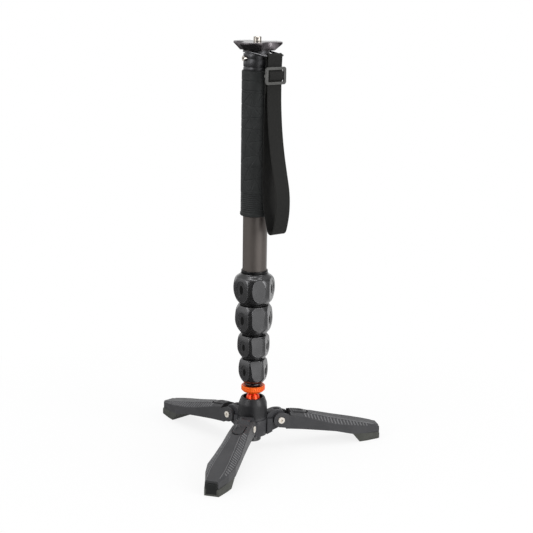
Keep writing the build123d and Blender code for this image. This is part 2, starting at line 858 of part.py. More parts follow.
# Leg: a hollow faceted bar with two cheeks around the arm's tongue
shoe_tip_reach = leg_tip_reach + shoe_tip_proud
shoe_sole_reach = shoe_tip_reach - shoe_sole_length
shoe_heel_reach = shoe_sole_reach - shoe_heel_lead
shoe_top = leg_sizes(shoe_heel_reach)[4]
with BuildPart() as leg:
    add(leg_blank.part)
    root_under = leg_sizes(leg_root_reach)[4]
    with BuildSketch(side_view):
        with BuildLine():
            Polyline(
                (pivot_reach, pivot_height + cheek_radius),
                (plate_end_reach - cheek_notch_width * 2, leg_edge_root_height - cheek_notch_width),
                (plate_end_reach + cheek_notch_width, leg_edge_root_height - cheek_notch_width),
                (plate_end_reach + cheek_notch_width, root_under - face_gap),
                (cheek_step_reach, root_under),
                (cheek_step_reach - cheek_notch_width / 2, root_under + cheek_notch_width),
                (pivot_reach, pivot_height - cheek_radius),
                close=True,
            )
        make_face()
        with Locations((pivot_reach, pivot_height)):
            Circle(cheek_radius)
    extrude(amount=cheek_half_width, both=True)
    with BuildSketch(side_view):
        with BuildLine():
            Polyline(
                (plate_end_reach - cheek_notch_width, leg_ridge_root_height * 2),
                (plate_end_reach - cheek_notch_width, leg_edge_root_height - cheek_notch_depth),
                (plate_end_reach - cheek_notch_width * 2, leg_edge_root_height - cheek_notch_depth),
                (plate_end_reach - cheek_notch_width * 2, leg_edge_root_height - cheek_notch_width),
                (pivot_reach, pivot_height + cheek_radius + face_gap),
                (pivot_reach, leg_ridge_root_height * 2),
                close=True,
            )
        make_face()
    extrude(amount=leg_half_width * 2, both=True, mode=Mode.SUBTRACT)
    with BuildSketch(Plane.XY):
        with Locations((plate_end_reach / 2, 0)):
            Rectangle(plate_end_reach, (tongue_half_width + cheek_gap) * 2)
    extrude(amount=leg_ridge_root_height * 2, mode=Mode.SUBTRACT)
    with BuildSketch(side_view):
        with Locations((pivot_reach, pivot_height)):
            Circle(bolt_radius + pin_fit)
    extrude(amount=leg_half_width * 2, both=True, mode=Mode.SUBTRACT)

with BuildPart() as leg_cavity:
    for share in cavity_station_shares:
        reach = between(cavity_root_reach, cavity_tip_reach, share)
        half_edge, half_ridge, ridge, edge, under = leg_sizes(reach)
        section = leg_station(
            reach, half_edge - leg_wall, half_ridge, ridge - leg_wall,
            edge - leg_wall, under - leg_wall * 2,
        )
        add(section.sketch)
    loft(ruled=True)

with BuildPart() as button_pocket:
    add(button_plan(running_gap, running_gap, running_gap).part)
    with BuildSketch(Plane.XY):
        Rectangle(leg_tip_reach * 2, leg_half_width * 2)
    extrude(amount=button_floor_height, mode=Mode.SUBTRACT)

with BuildPart() as leg_shell:
    add(leg.part)
    add(leg_cavity.part, mode=Mode.SUBTRACT)
    add(button_pocket.part, mode=Mode.SUBTRACT)
    add(button_groove.part, mode=Mode.SUBTRACT)
    with BuildSketch(Plane.YZ.offset(leg_tip_reach - shoe_face_thickness)):
        with Locations((0, shoe_face_height / 2)):
            Rectangle((shoe_face_half_width + face_gap) * 2, shoe_face_height)
    extrude(amount=shoe_face_thickness * 2, mode=Mode.SUBTRACT)

# Rubber shoe under the tip, with a flat face up the end of the leg
shoe_waist = between(shoe_heel_reach, shoe_tip_reach, shoe_waist_share)
station_reaches = [between(leg_root_reach, leg_tip_reach, share) for share in leg_station_shares]
shoe_top_line = [
    (reach, leg_sizes(reach)[4]) for reach in reversed(station_reaches)
    if shoe_heel_reach < reach < leg_tip_reach
]
with BuildPart() as shoe_plan:
    with BuildSketch(Plane.XY):
        with BuildLine():
            Polyline(
                (shoe_heel_reach, -shoe_heel_half_width),
                (shoe_waist, -shoe_waist_half_width),
                (shoe_tip_reach, -shoe_tip_half_width),
                (shoe_tip_reach, shoe_tip_half_width),
                (shoe_waist, shoe_waist_half_width),
                (shoe_heel_reach, shoe_heel_half_width),
                close=True,
            )
        make_face()
    extrude(amount=leg_ridge_tip_height)

with BuildPart() as shoe:
    with BuildSketch(side_view):
        with BuildLine():
            Polyline(
                (shoe_heel_reach, shoe_top - face_gap),
                (shoe_sole_reach, 0),
                (shoe_tip_reach - shoe_edge, 0),
                (shoe_tip_reach, shoe_edge),
                (shoe_tip_reach, leg_under_tip_height - shoe_edge * 2),
                (leg_tip_reach, leg_under_tip_height),
                *shoe_top_line,
                (shoe_heel_reach, shoe_top),
                close=True,
            )
        make_face()
    extrude(amount=leg_half_width, both=True)
    add(shoe_plan.part, mode=Mode.INTERSECT)
    with BuildSketch(Plane.YZ.offset(leg_tip_reach - shoe_face_thickness)):
        with Locations((0, (shoe_face_height + shoe_edge) / 2)):
            Rectangle(shoe_face_half_width * 2, shoe_face_height - shoe_edge * 2)
    extrude(amount=shoe_face_thickness + face_gap)

for number, azimuth in enumerate(leg_azimuths, 1):
    save(placed(leg_shell, azimuth), f"leg_{number}")
    save(placed(shoe, azimuth), f"leg_shoe_{number}")
    save(placed(button, azimuth), f"release_button_{number}")
    save(placed(button_spring, azimuth), f"button_spring_{number}")

# Grip, neck, head plate and strap ring follow from the top of the widest tube
neck_low = tube_top_height - neck_lap
neck_top = neck_low + neck_height
neck_radius = tube_radii[0] + neck_wall
neck_ring_heights = [between(neck_low, neck_top, share) for share in neck_ring_shares]
set_screw_height = between(neck_low, neck_top, set_screw_share)
plate_top = neck_top + plate_thickness
grip_top = neck_low
grip_bottom = collar_top(0) + face_gap + seal_heights[0] + tube_bare
grip_radius = tube_radii[0] + grip_wall
ring_loop_radius = neck_radius - ring_loop_inset
ring_loop_height = neck_top - ring_gap - ring_wire
ring_bar_height = ring_loop_height - ring_bar_drop
ring_bar_reach = grip_radius + ring_bar_clear

# Hand grip: a rubber sleeve with ribs at the bottom and two bands at the top
with BuildPart() as hand_grip:
    with BuildSketch(Plane.XY.offset(grip_bottom)):
        Circle(grip_radius)
        Circle(tube_radii[0], mode=Mode.SUBTRACT)
    extrude(amount=grip_top - grip_bottom)
    with BuildSketch(Plane.XY.offset(grip_bottom)):
        Circle(grip_radius + grip_lip)
        Circle(tube_radii[0], mode=Mode.SUBTRACT)
    extrude(amount=grip_lip_height)
    rib_count = int((grip_rib_height - grip_lip_height) / grip_rib_pitch)
    rib_heights = [
        grip_bottom + grip_lip_height + grip_rib_pitch * (number + 0.5) for number in range(rib_count)
    ]
    for height in rib_heights + [grip_top - drop for drop in grip_band_drops]:
        with BuildSketch(Plane.XY.offset(height)):
            Circle(grip_radius + overrun)
            Circle(grip_radius - grip_groove, mode=Mode.SUBTRACT)
        extrude(amount=grip_groove * 2, mode=Mode.SUBTRACT)
save(hand_grip, "hand_grip")

# Neck: a turned collar that plugs the top tube and carries the head plate
with BuildPart() as neck:
    with BuildSketch(Plane.XY.offset(neck_low)):
        Circle(neck_radius)
    extrude(amount=neck_top - neck_low)
    with BuildSketch(Plane.XY.offset(neck_low)):
        Circle(tube_radii[0])
    extrude(amount=tube_top_height - neck_low, mode=Mode.SUBTRACT)
    with BuildSketch(Plane.XY.offset(tube_top_height)):
        Circle(tube_radii[0] - tube_wall)
    extrude(amount=-neck_plug_depth / 2)
    with BuildSketch(Plane.XY.offset(neck_top - neck_groove_height)):
        Circle(neck_radius + overrun)
        Circle(ring_loop_radius - ring_wire - ring_gap, mode=Mode.SUBTRACT)
    extrude(amount=neck_top, mode=Mode.SUBTRACT)
    for height in neck_ring_heights:
        with BuildSketch(Plane.XY.offset(height)):
            Circle(neck_radius + overrun)
            Circle(neck_radius - neck_ring_groove, mode=Mode.SUBTRACT)
        extrude(amount=neck_ring_groove, mode=Mode.SUBTRACT)
    screw_plane = Plane(
        origin=(0, 0, set_screw_height), x_dir=(0, 0, 1),
        z_dir=(math.cos(math.radians(set_screw_azimuth)), math.sin(math.radians(set_screw_azimuth)), 0),
    )
    with BuildSketch(screw_plane.offset(neck_radius - set_screw_depth)):
        Circle(set_screw_radius)
    extrude(amount=neck_radius, mode=Mode.SUBTRACT)
    with BuildSketch(Plane.XY.offset(neck_top - stud_anchor_depth)):
        Circle(stud_shank_radius)
    extrude(amount=neck_top, mode=Mode.SUBTRACT)
save(neck, "neck_collar")

with BuildPart() as set_screw:
    with BuildSketch(screw_plane.offset(neck_radius - set_screw_depth)):
        Circle(set_screw_radius)
    extrude(amount=set_screw_depth + set_screw_proud)
    with BuildSketch(screw_plane.offset(neck_radius + set_screw_proud)):
        RegularPolygon(hex_radius, 6)
    extrude(amount=-hex_depth, mode=Mode.SUBTRACT)
save(set_screw, "neck_set_screw")

# Head plate: three lobes over the legs, scooped between them, coned beneath
plate_blank = turned([
    (0, neck_top),
    (plate_waist_radius, neck_top),
    (plate_radius, plate_top - plate_rim),
    (plate_radius, plate_top),
    (0, plate_top),
])
scoop_centre = plate_scoop_inner + plate_scoop_radius
with BuildPart() as head_plate:
    add(plate_blank.part)
    for azimuth in plate_scoop_azimuths:
        turn = math.radians(azimuth)
        with BuildSketch(Plane.XY.offset(neck_top - overrun)):
            with Locations((scoop_centre * math.cos(turn), scoop_centre * math.sin(turn))):
                Circle(plate_scoop_radius)
        extrude(amount=plate_top - neck_top + overrun * 2, mode=Mode.SUBTRACT)
    chamfer(head_plate.faces().sort_by(Axis.Z)[-1].edges(), plate_edge)
    with BuildSketch(Plane.XY.offset(neck_top - overrun)):
        Circle(stud_shank_radius)
    extrude(amount=plate_top, mode=Mode.SUBTRACT)
    with BuildSketch(Plane.XY.offset(neck_top - overrun)):
        Circle(stud_anchor_radius)
    extrude(amount=stud_anchor_height + overrun, mode=Mode.SUBTRACT)
    with BuildSketch(Plane.XY.offset(plate_top - stud_recess_depth)):
        Circle(stud_radius + stud_recess_gap)
    extrude(amount=stud_recess_depth + overrun, mode=Mode.SUBTRACT)
save(head_plate, "head_plate")

# Camera stud: its flange sits in the head plate, and its point in the neck
with BuildPart() as camera_stud:
    with BuildSketch(Plane.XY.offset(plate_top + stud_relief)):
        Circle(stud_radius)
    extrude(amount=stud_height - stud_relief)
    chamfer(camera_stud.faces().sort_by(Axis.Z)[-1].edges(), stud_edge)
    with BuildSketch(Plane.XY.offset(neck_top - stud_anchor_depth)):
        Circle(stud_shank_radius)
    extrude(amount=plate_top + stud_relief - neck_top + stud_anchor_depth)
    with BuildSketch(Plane.XY.offset(neck_top)):
        Circle(stud_anchor_radius)
    extrude(amount=stud_anchor_height)
    with BuildSketch(Plane.XY.offset(plate_top + stud_height)):
        Rectangle(stud_radius * 2, stud_slot)
    extrude(amount=-stud_slot_depth, mode=Mode.SUBTRACT)
save(camera_stud, "camera_stud")


# Strap ring: a wire loop in the neck's groove, drawn out to a straight bar
def strap_spot(reach, side):
    """A place in the strap's own frame: reach from the column, and sideways."""
    turn = math.radians(strap_azimuth)
    return (
        reach * math.cos(turn) - side * math.sin(turn),
        reach * math.sin(turn) + side * math.cos(turn),
    )


def rod(start, end, radius):
    """A round wire with ball ends between two points."""
    start, end = Vector(*start), Vector(*end)
    with BuildPart() as wire:
        with BuildSketch(Plane(origin=start, z_dir=end - start)):
            Circle(radius)
        extrude(amount=(end - start).length)
        with Locations(start, end):
            Sphere(radius)
    return wire


bar_ends = [strap_offset - ring_bar_half, strap_offset + ring_bar_half]
bar_points = [(*strap_spot(ring_bar_reach, side), ring_bar_height) for side in bar_ends]
tangents = []
for side, hand in zip(bar_ends, (-1, 1)):
    far = math.hypot(ring_bar_reach, side)
    turn = math.atan2(side, ring_bar_reach) + hand * math.acos(ring_loop_radius / far)
    tangents.append(strap_spot(ring_loop_radius * math.cos(turn), ring_loop_radius * math.sin(turn)))
loop_start, loop_end = (math.degrees(math.atan2(spot[1], spot[0])) for spot in tangents)
loop_sweep = (loop_start - loop_end) % 360

with BuildPart() as strap_ring:
    with BuildSketch(Plane.XZ):
        with Locations((ring_loop_radius, ring_loop_height)):
            Circle(ring_wire)
    revolve(axis=Axis.Z, revolution_arc=loop_sweep)
with BuildPart() as ring_loop:
    add(strap_ring.part, rotation=(0, 0, loop_end))
    for spot, corner in zip(tangents, bar_points):
        add(rod((*spot, ring_loop_height), corner, ring_wire).part)
    add(rod(*bar_points, ring_wire).part)
save(ring_loop, "strap_ring")

# Wrist strap: one length of webbing, over the bar and down in a long loop
fold_left = ring_bar_reach + fold_radius
fold_right = ring_bar_reach - fold_radius
buckle_middle = ring_bar_height - buckle_drop
tail_foot = buckle_middle - buckle_height
turn = math.radians(strap_azimuth)
strap_plane = Plane(
    origin=(*strap_spot(0, strap_offset), 0),
    x_dir=(math.cos(turn), math.sin(turn), 0),
    z_dir=(math.sin(turn), -math.cos(turn), 0),
)
with BuildPart() as wrist_strap:
    with BuildSketch(strap_plane):
        with BuildLine() as route:
            corner_radii = []
            spots = [Vector(grip_radius + out, ring_bar_height - drop) for out, drop in strap_route]
            spots.append(Vector(fold_left, ring_bar_height))
            for back, here, ahead in zip(spots, spots[1:], spots[2:]):
                bend = math.radians((here - back).get_angle(ahead - here))
                shorter = min((here - back).length, (ahead - here).length)
                corner_radii.append(shorter * 0.45 / math.tan(bend / 2))
            lower = FilletPolyline(*spots, radius=corner_radii)
            fold = ThreePointArc(
                (fold_left, ring_bar_height),
                (ring_bar_reach, ring_bar_height + fold_radius),
                (fold_right, ring_bar_height),
            )
            tail = Line((fold_right, ring_bar_height), (fold_right, tail_foot))
        trace(line_width=strap_thickness)
    extrude(amount=strap_width / 2, both=True)
save(wrist_strap, "wrist_strap")
print("strap bend radii", [round(radius, 1) for radius in corner_radii])
strap_length = lower.length + fold.length + tail.length
print("strap length", round(strap_length, 1))

# Buckle: a three-bar slide with the webbing over its middle bar
buckle_plane = Plane(
    origin=(*strap_spot(grip_radius + buckle_clear, strap_offset), buckle_middle),
    x_dir=(-math.sin(turn), math.cos(turn), 0),
    z_dir=(math.cos(turn), math.sin(turn), 0),
)
with BuildPart() as buckle:
    with BuildSketch(buckle_plane):
        RectangleRounded(buckle_width, buckle_height, buckle_side)
        RectangleRounded(
            buckle_width - buckle_side * 2, buckle_height - buckle_bar * 2, buckle_edge,
            mode=Mode.SUBTRACT,
        )
    extrude(amount=buckle_thickness)
    with BuildSketch(buckle_plane.offset(buckle_centre_clear - buckle_clear)):
        Rectangle(buckle_width - buckle_side, buckle_bar)
    extrude(amount=buckle_centre_thickness)
    with BuildSketch(buckle_plane.offset(buckle_centre_clear - buckle_clear)):
        for hand in (-1, 1):
            with Locations((hand * (buckle_width - buckle_side) / 2, 0)):
                Rectangle(buckle_side, buckle_bar)
    extrude(amount=buckle_clear - buckle_centre_clear + face_gap)
save(buckle, "strap_buckle")
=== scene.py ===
# %% [markdown]
# # A camera monopod on three small legs
#
# This lesson dresses a finished CAD model for its portrait. The solids (tubes, twist collars, hub,
# legs) arrive as a fixed frame, already in metres and in the right places. What is left to do is
# what makes the thing look real: the finish of every part, the soft webbing of the wrist strap,
# the moulded rubber of the hand grip, the thread of the camera stud, and the light and the camera.
#
# Every piece that is added here rides on one of the CAD's bodies, so it moves when the joints do.

import json
import math

import bmesh
import bpy
import numpy as np
from mathutils import Matrix, Vector
from mathutils.bvhtree import BVHTree

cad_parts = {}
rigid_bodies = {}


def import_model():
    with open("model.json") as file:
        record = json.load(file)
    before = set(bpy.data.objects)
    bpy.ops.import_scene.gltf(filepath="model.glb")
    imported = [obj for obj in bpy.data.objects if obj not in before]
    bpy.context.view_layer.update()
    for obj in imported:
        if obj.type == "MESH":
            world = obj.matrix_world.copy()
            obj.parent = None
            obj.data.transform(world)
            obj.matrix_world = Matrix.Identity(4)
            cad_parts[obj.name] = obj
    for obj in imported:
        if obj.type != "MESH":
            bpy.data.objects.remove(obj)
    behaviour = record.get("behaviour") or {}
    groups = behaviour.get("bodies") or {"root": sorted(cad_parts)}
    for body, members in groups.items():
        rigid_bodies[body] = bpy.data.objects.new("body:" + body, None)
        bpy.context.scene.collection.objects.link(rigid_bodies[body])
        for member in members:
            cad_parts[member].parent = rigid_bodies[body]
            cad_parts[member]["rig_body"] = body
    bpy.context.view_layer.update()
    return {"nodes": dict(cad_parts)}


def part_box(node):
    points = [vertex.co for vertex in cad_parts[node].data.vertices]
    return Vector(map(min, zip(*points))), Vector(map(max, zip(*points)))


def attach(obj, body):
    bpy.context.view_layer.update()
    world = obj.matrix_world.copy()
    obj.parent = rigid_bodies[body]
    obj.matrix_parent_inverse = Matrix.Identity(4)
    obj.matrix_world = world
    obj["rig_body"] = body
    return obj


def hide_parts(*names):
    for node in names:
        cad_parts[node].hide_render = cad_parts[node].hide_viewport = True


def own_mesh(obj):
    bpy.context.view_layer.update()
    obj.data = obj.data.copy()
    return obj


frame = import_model()
part = frame["nodes"]
mm = 0.001

# %% [markdown]
# ## The camera
#
# The picture was taken from about one and a half metres, a little above the head plate, looking
# down by 13.6 degrees. A camera in Blender looks along its own -Z axis with +Y up in the picture,
# so the easiest honest way to aim it is to write down three directions: to the picture's right, to
# its top, and back towards the photographer. Put side by side they are the camera's rotation.
# The whole set-up is then walked round the monopod by 16.2 degrees, because leg 1 points
# straight along -Y in the model and the photographer stood a little to its right.

# %% Set up the camera
camera_away, camera_height = 1.5, 0.59097
look_down, look_aside, picture_lean = (math.radians(a) for a in (-13.60032, 0.54335, 0.85))
ahead = Vector((
    math.sin(look_aside) * math.cos(look_down),
    math.cos(look_aside) * math.cos(look_down),
    math.sin(look_down),
))
level_right = Vector((math.cos(look_aside), -math.sin(look_aside), 0))
level_up = level_right.cross(ahead)
picture_right = level_right * math.cos(picture_lean) + level_up * math.sin(picture_lean)
picture_up = level_up * math.cos(picture_lean) - level_right * math.sin(picture_lean)

walk_round = Matrix.Rotation(math.radians(16.19107), 4, "Z")
aim = Matrix((picture_right, picture_up, -ahead)).transposed().to_4x4()

camera_data = bpy.data.cameras.new("portrait_camera")
camera_data.lens = 87.1734
camera_data.sensor_width = 36
camera = bpy.data.objects.new("portrait_camera", camera_data)
camera.matrix_world = walk_round @ Matrix.Translation((0, -camera_away, camera_height)) @ aim
bpy.context.scene.collection.objects.link(camera)
bpy.context.scene.camera = camera
print("camera stands at", [round(v, 3) for v in camera.matrix_world.translation])

# %% [markdown]
# ## A few helpers
#
# A material in Blender is a small network of nodes. Five helpers keep these networks short: they
# add several nodes at once, fill in a node's values, do a sum, stretch one range of numbers over
# another, and mix two shaders. Three more build shapes: an object from a mesh, a mesh from lists
# of points and faces, and the faces of a skin over rings of points. Nearly all the new pieces
# are such skins: a grip, a screw, a coil and a strap are rings along a line. The last one gives
# the directions outwards and sideways at an angle about the column.

# %% Helpers for nodes and meshes
def add_nodes(tree, *kinds):
    return [tree.nodes.new("ShaderNode" + kind) for kind in kinds]


def set_inputs(node, values):
    for name, value in values.items():
        node.inputs[name].default_value = value


def calculate(tree, operation, *values):
    """A sum on values that are sockets of other nodes or plain numbers."""
    (sum_node,) = add_nodes(tree, "Math")
    sum_node.operation = operation
    for value, socket in zip(values, sum_node.inputs):
        if isinstance(value, float):
            socket.default_value = value
        else:
            tree.links.new(value, socket)
    return sum_node.outputs[0]


def spread(tree, value, low, high, start=0.3, stop=0.7):
    """Runs from low to high while the value runs from start to stop."""
    (reach,) = add_nodes(tree, "MapRange")
    set_inputs(reach, {"From Min": start, "From Max": stop, "To Min": low, "To Max": high})
    tree.links.new(value, reach.inputs["Value"])
    return reach.outputs["Result"]


def mix_shaders(tree, share, first, second):
    (mix,) = add_nodes(tree, "MixShader")
    for value, socket in zip((share, first, second), mix.inputs):
        tree.links.new(value, socket)
    return mix.outputs["Shader"]


def new_piece(name, data):
    piece = bpy.data.objects.new(name, data)
    bpy.context.scene.collection.objects.link(piece)
    return piece


def build_piece(name, points, faces, smooth=False):
    mesh = bpy.data.meshes.new(name)
    mesh.from_pydata(points, [], faces)
    if smooth:
        mesh.shade_smooth()
    return new_piece(name, mesh)


def skin_faces(count, rings, first=0, wrapped=False):
    """Joins rings of count points each, with closed ends, or joined last to first if wrapped."""
    faces = []
    for r in range(rings if wrapped else rings - 1):
        low, high = first + r * count, first + (r + 1) % rings * count
        for c in range(count):
            d = (c + 1) % count
            faces.append((low + c, low + d, high + d, high + c))
    if not wrapped:
        last = first + (rings - 1) * count
        faces += [tuple(range(first, first + count))[::-1], tuple(range(last, last + count))]
    return faces


def out_and_side(degrees):
    turn = math.radians(degrees)
    out = Vector((math.cos(turn), math.sin(turn), 0))
    return out, Vector((-out.y, out.x, 0))


print("node and mesh helpers are ready")

# %% [markdown]
# ## The floor
#
# The monopod stands on a round sheet of plain white paper. Its material is ordinary matt white,
# which takes the soft shadow under the legs, and a share of what the camera sees of it is plain
# white light of strength 1. That share grows with the distance from the monopod and is whole at
# the rim, so the paper melts into the white room. Mirrors look through the paper, because the
# gloss of the collars is easier to steer when it sees nothing but the room.

# %% Lay the floor
paper_radius, paper_sides = 0.62, 96
glow_starts, glow_whole, least_glow = 0.12, 0.5, 0.82
paper_colour, paper_rough = (0.86, 0.86, 0.86, 1), 0.95
paper_turns = [2 * math.pi * k / paper_sides for k in range(paper_sides)]
paper_rim = [(paper_radius * math.cos(t), paper_radius * math.sin(t), 0) for t in paper_turns]
paper = build_piece("studio_floor", paper_rim, [tuple(range(paper_sides))])

paper_white = bpy.data.materials.new("studio_paper")
paper_white.use_nodes = True
paper_tree = paper_white.node_tree
matt = paper_tree.nodes["Principled BSDF"]
set_inputs(matt, {"Base Color": paper_colour, "Roughness": paper_rough})
glow, clear, seen_by = add_nodes(paper_tree, "Emission", "BsdfTransparent", "LightPath")
place, far = add_nodes(paper_tree, "TexCoord", "VectorMath")
set_inputs(glow, {"Strength": 1.0})
far.operation = "LENGTH"
paper_tree.links.new(place.outputs["Object"], far.inputs[0])
glow_share = spread(
    paper_tree, far.outputs["Value"], least_glow, 1.0, start=glow_starts, stop=glow_whole)
glow_share = calculate(paper_tree, "MULTIPLY", glow_share, seen_by.outputs["Is Camera Ray"])
surface = mix_shaders(paper_tree, glow_share, matt.outputs["BSDF"], glow.outputs["Emission"])
surface = mix_shaders(paper_tree, seen_by.outputs["Is Glossy Ray"], surface, clear.outputs["BSDF"])
paper_tree.links.new(surface, paper_tree.nodes["Material Output"].inputs["Surface"])
paper.data.materials.append(paper_white)
print("the paper is", round(2 * paper_radius, 2), "m across")

# %% [markdown]
# ## The light
#
# A product studio lights black things with large soft panels, because glossy black shows nothing
# but what it mirrors. Two tall panels stand left and right of the camera and one hangs overhead.
# The world adds the even light of a white room. The camera sees that room as pure white. The
# mirrors see it white too, but dimmer on the ceiling and far out on the right, and in front on
# the left it is black around the photographer and dim further round. The collars pick that up
# as the black band beside their middle flat, which makes them look like polished black metal.

# %% Set up the room
world = bpy.data.worlds.new("white_room")
bpy.context.scene.world = world
bpy.context.scene.view_settings.view_transform = "Standard"
world.use_nodes = True
room_tree = world.node_tree
room_light = room_tree.nodes["Background"]
seen_white, mirrored = add_nodes(room_tree, "Background", "Background")
seen_by, place = add_nodes(room_tree, "LightPath", "TexCoord")
room_strength = 0.6
for background, strength in ((room_light, room_strength), (seen_white, 1.0), (mirrored, 1.0)):
    set_inputs(background, {"Color": (1, 1, 1, 1), "Strength": strength})


def room_side(direction, outside, inside):
    """0 where a look into the room is on the outside of a soft border, and 1 on its inside."""
    along, edge = add_nodes(room_tree, "VectorMath", "MapRange")
    along.operation = "DOT_PRODUCT"
    along.inputs[1].default_value = walk_round @ Vector(direction)
    edge.interpolation_type = "SMOOTHSTEP"
    set_inputs(edge, {"From Min": outside, "From Max": inside})
    room_tree.links.new(place.outputs["Generated"], along.inputs[0])
    room_tree.links.new(along.outputs["Value"], edge.inputs["Value"])
    return edge.outputs["Result"]


def product(first, *others):
    for other in others:
        first = calculate(room_tree, "MULTIPLY", first, other)
    return first


def brightness(side, outside, inside):
    """How bright the room is on the outside and on the inside of a side's border."""
    return spread(room_tree, side, outside, inside, start=0, stop=1)


print("the room lights the monopod with a strength of", room_strength)

# %% [markdown]
# The sides are named as the camera sees them: left is -X, right is +X, and the photographer stands
# at -Y. Two black patches make one: a low one on the left, and one round the photographer.
# Where two rules meet, the brighter one counts, so the patch never hides the dim light low down.

# %% Darken the sides that the collars mirror
left, right, front, up, down = (-1, 0, 0), (1, 0, 0), (0, -1, 0), (0, 0, 1), (0, 0, -1)
low_down = room_side(down, 0.06, 0.17)
dark_low = product(low_down, room_side(left, -0.36, -0.1))
dark_high = product(
    room_side(left, -0.2, 0.05), room_side(front, 0.2, 0.5), room_side(down, -0.85, -0.6))
dark_patch = calculate(room_tree, "MAXIMUM", dark_low, dark_high)
dim_side = product(low_down, room_side(left, 0.3, 0.8))
patch_light, dim_light = brightness(dark_patch, 1.0, 0.02), brightness(dim_side, 0.0, 0.22)
left_half = calculate(room_tree, "MAXIMUM", patch_light, dim_light)
ceiling = brightness(room_side(up, 0.12, 0.45), 1.0, 0.45)
far_right = brightness(room_side(right, 0.6, 0.92), 1.0, 0.5)
room_tree.links.new(product(left_half, ceiling, far_right), mirrored.inputs["Strength"])

seen_whole = calculate(
    room_tree, "MAXIMUM", seen_by.outputs["Is Camera Ray"], seen_by.outputs["Is Transmission Ray"])
lit, white, in_mirrors = (n.outputs["Background"] for n in (room_light, seen_white, mirrored))
room_look = mix_shaders(room_tree, seen_whole, lit, white)
room_look = mix_shaders(room_tree, seen_by.outputs["Is Glossy Ray"], room_look, in_mirrors)
room_tree.links.new(room_look, room_tree.nodes["World Output"].inputs["Surface"])
print("the room has", len(room_tree.nodes), "nodes")

# %% [markdown]
# The panels are area lamps. The larger a lamp is, the softer the edge of its shadow, so these are
# more than a metre tall or long. Each one is aimed at the middle of the monopod.

# %% Hang the soft panels
middle_of_monopod = Vector((0, 0, 0.25))


def soft_panel(name, stands_at, width, height, watts):
    lamp = bpy.data.lights.new(name, "AREA")
    lamp.shape = "RECTANGLE"
    lamp.size, lamp.size_y, lamp.energy = width, height, watts
    spot = walk_round @ Vector(stands_at)
    turned = (middle_of_monopod - spot).to_track_quat("-Z", "Y").to_matrix().to_4x4()
    new_piece(name, lamp).matrix_world = Matrix.Translation(spot) @ turned


soft_panel("panel_left", (-1.5, -1.1, 1.0), width=0.9, height=1.4, watts=12)
soft_panel("panel_right", (1.5, -1.1, 0.8), width=0.7, height=1.4, watts=15)
soft_panel("panel_top", (0.1, 0.1, 2.2), width=1.4, height=1.2, watts=16)
print("three soft panels and a white room")

# %% [markdown]
# ## How a finish is built
#
# No real surface is one flat colour. Anodising varies a little from spot to spot, rubber has
# a grain, a turned part keeps the fine rings of the lathe tool. So each finish starts from the same
# three habits: the colour drifts slightly with a large soft noise, the roughness drifts with a
# smaller one, and a very fine bump gives the surface its tooth. All of them use object coordinates,
# which are metres here, so the size of the grain can be written down as a real size.

# %% Helpers for colours and finishes
def screen(red, green, blue):
    """The colour that shows as these 0 to 255 values on a screen."""
    shares = (red / 255, green / 255, blue / 255)
    return tuple(s / 12.92 if s < 0.04045 else ((s + 0.055) / 1.055) ** 2.4 for s in shares)


def start_finish(name, colour, rough, metal=0.0, coat=0.0, coat_rough=0.1):
    made = bpy.data.materials.new(name)
    made.use_nodes = True
    skin = made.node_tree.nodes["Principled BSDF"]
    set_inputs(skin, {"Base Color": (*colour, 1), "Roughness": rough, "Metallic": metal,
                      "Coat Weight": coat, "Coat Roughness": coat_rough})
    return made, made.node_tree, skin


def noise_field(tree, across, detail=2.0, rough=0.5):
    """A noise whose blobs are this many metres across: one number, or one for each axis."""
    place, size, noise = add_nodes(tree, "TexCoord", "Mapping", "TexNoise")
    steps = across if hasattr(across, "__len__") else (across,) * 3
    set_inputs(size, {"Scale": [1 / step for step in steps]})
    set_inputs(noise, {"Scale": 1.0, "Detail": detail, "Roughness": rough})
    tree.links.new(place.outputs["Object"], size.inputs["Vector"])
    tree.links.new(size.outputs["Vector"], noise.inputs["Vector"])
    return noise.outputs["Fac"]


def two_colours(tree, share, first, second):
    (mix,) = add_nodes(tree, "Mix")
    mix.data_type = "RGBA"
    set_inputs(mix, {"A": (*first, 1), "B": (*second, 1)})
    tree.links.new(share, mix.inputs["Factor"])
    return mix.outputs["Result"]


def drift(tree, skin, colour, amount, across):
    """Lets the colour wander a little darker and lighter over the surface."""
    field = spread(tree, noise_field(tree, across), 0, 1)
    dark = tuple(c * (1 - amount) for c in colour)
    light = tuple(c * (1 + amount) for c in colour)
    tree.links.new(two_colours(tree, field, dark, light), skin.inputs["Base Color"])


def rough_drift(tree, skin, low, high, across):
    tree.links.new(spread(tree, noise_field(tree, across), low, high), skin.inputs["Roughness"])


def tooth(tree, skin, field, depth, strength):
    """Turns a field into a bump that is so many metres deep."""
    (bump,) = add_nodes(tree, "Bump")
    set_inputs(bump, {"Distance": depth, "Strength": strength})
    tree.links.new(field, bump.inputs["Height"])
    tree.links.new(bump.outputs["Normal"], skin.inputs["Normal"])


print("finish helpers are ready")

# %% [markdown]
# ## Black anodised aluminium
#
# The twist collars, the neck, the foot adaptor and the foot cap are turned on a lathe, polished
# and dyed black. What the eye takes for black is a dark mirror: it gives back about a tenth of
# the room, so it is black where the room is dark and grey where the room is white. That is a
# metal with a dark grey colour, not a black paint. The lathe leaves rings around the column,
# which means noise stretched flat: long around, and very short in height. The neck gets a rougher
# version, so the light on it runs together into one soft band, and a darker colour, which is
# painted shade for the strap's shadow on it.

# %% Black anodised aluminium
turned_ring, finer_ring = (0.03, 0.03, 0.0002), (0.03, 0.03, 0.00018)


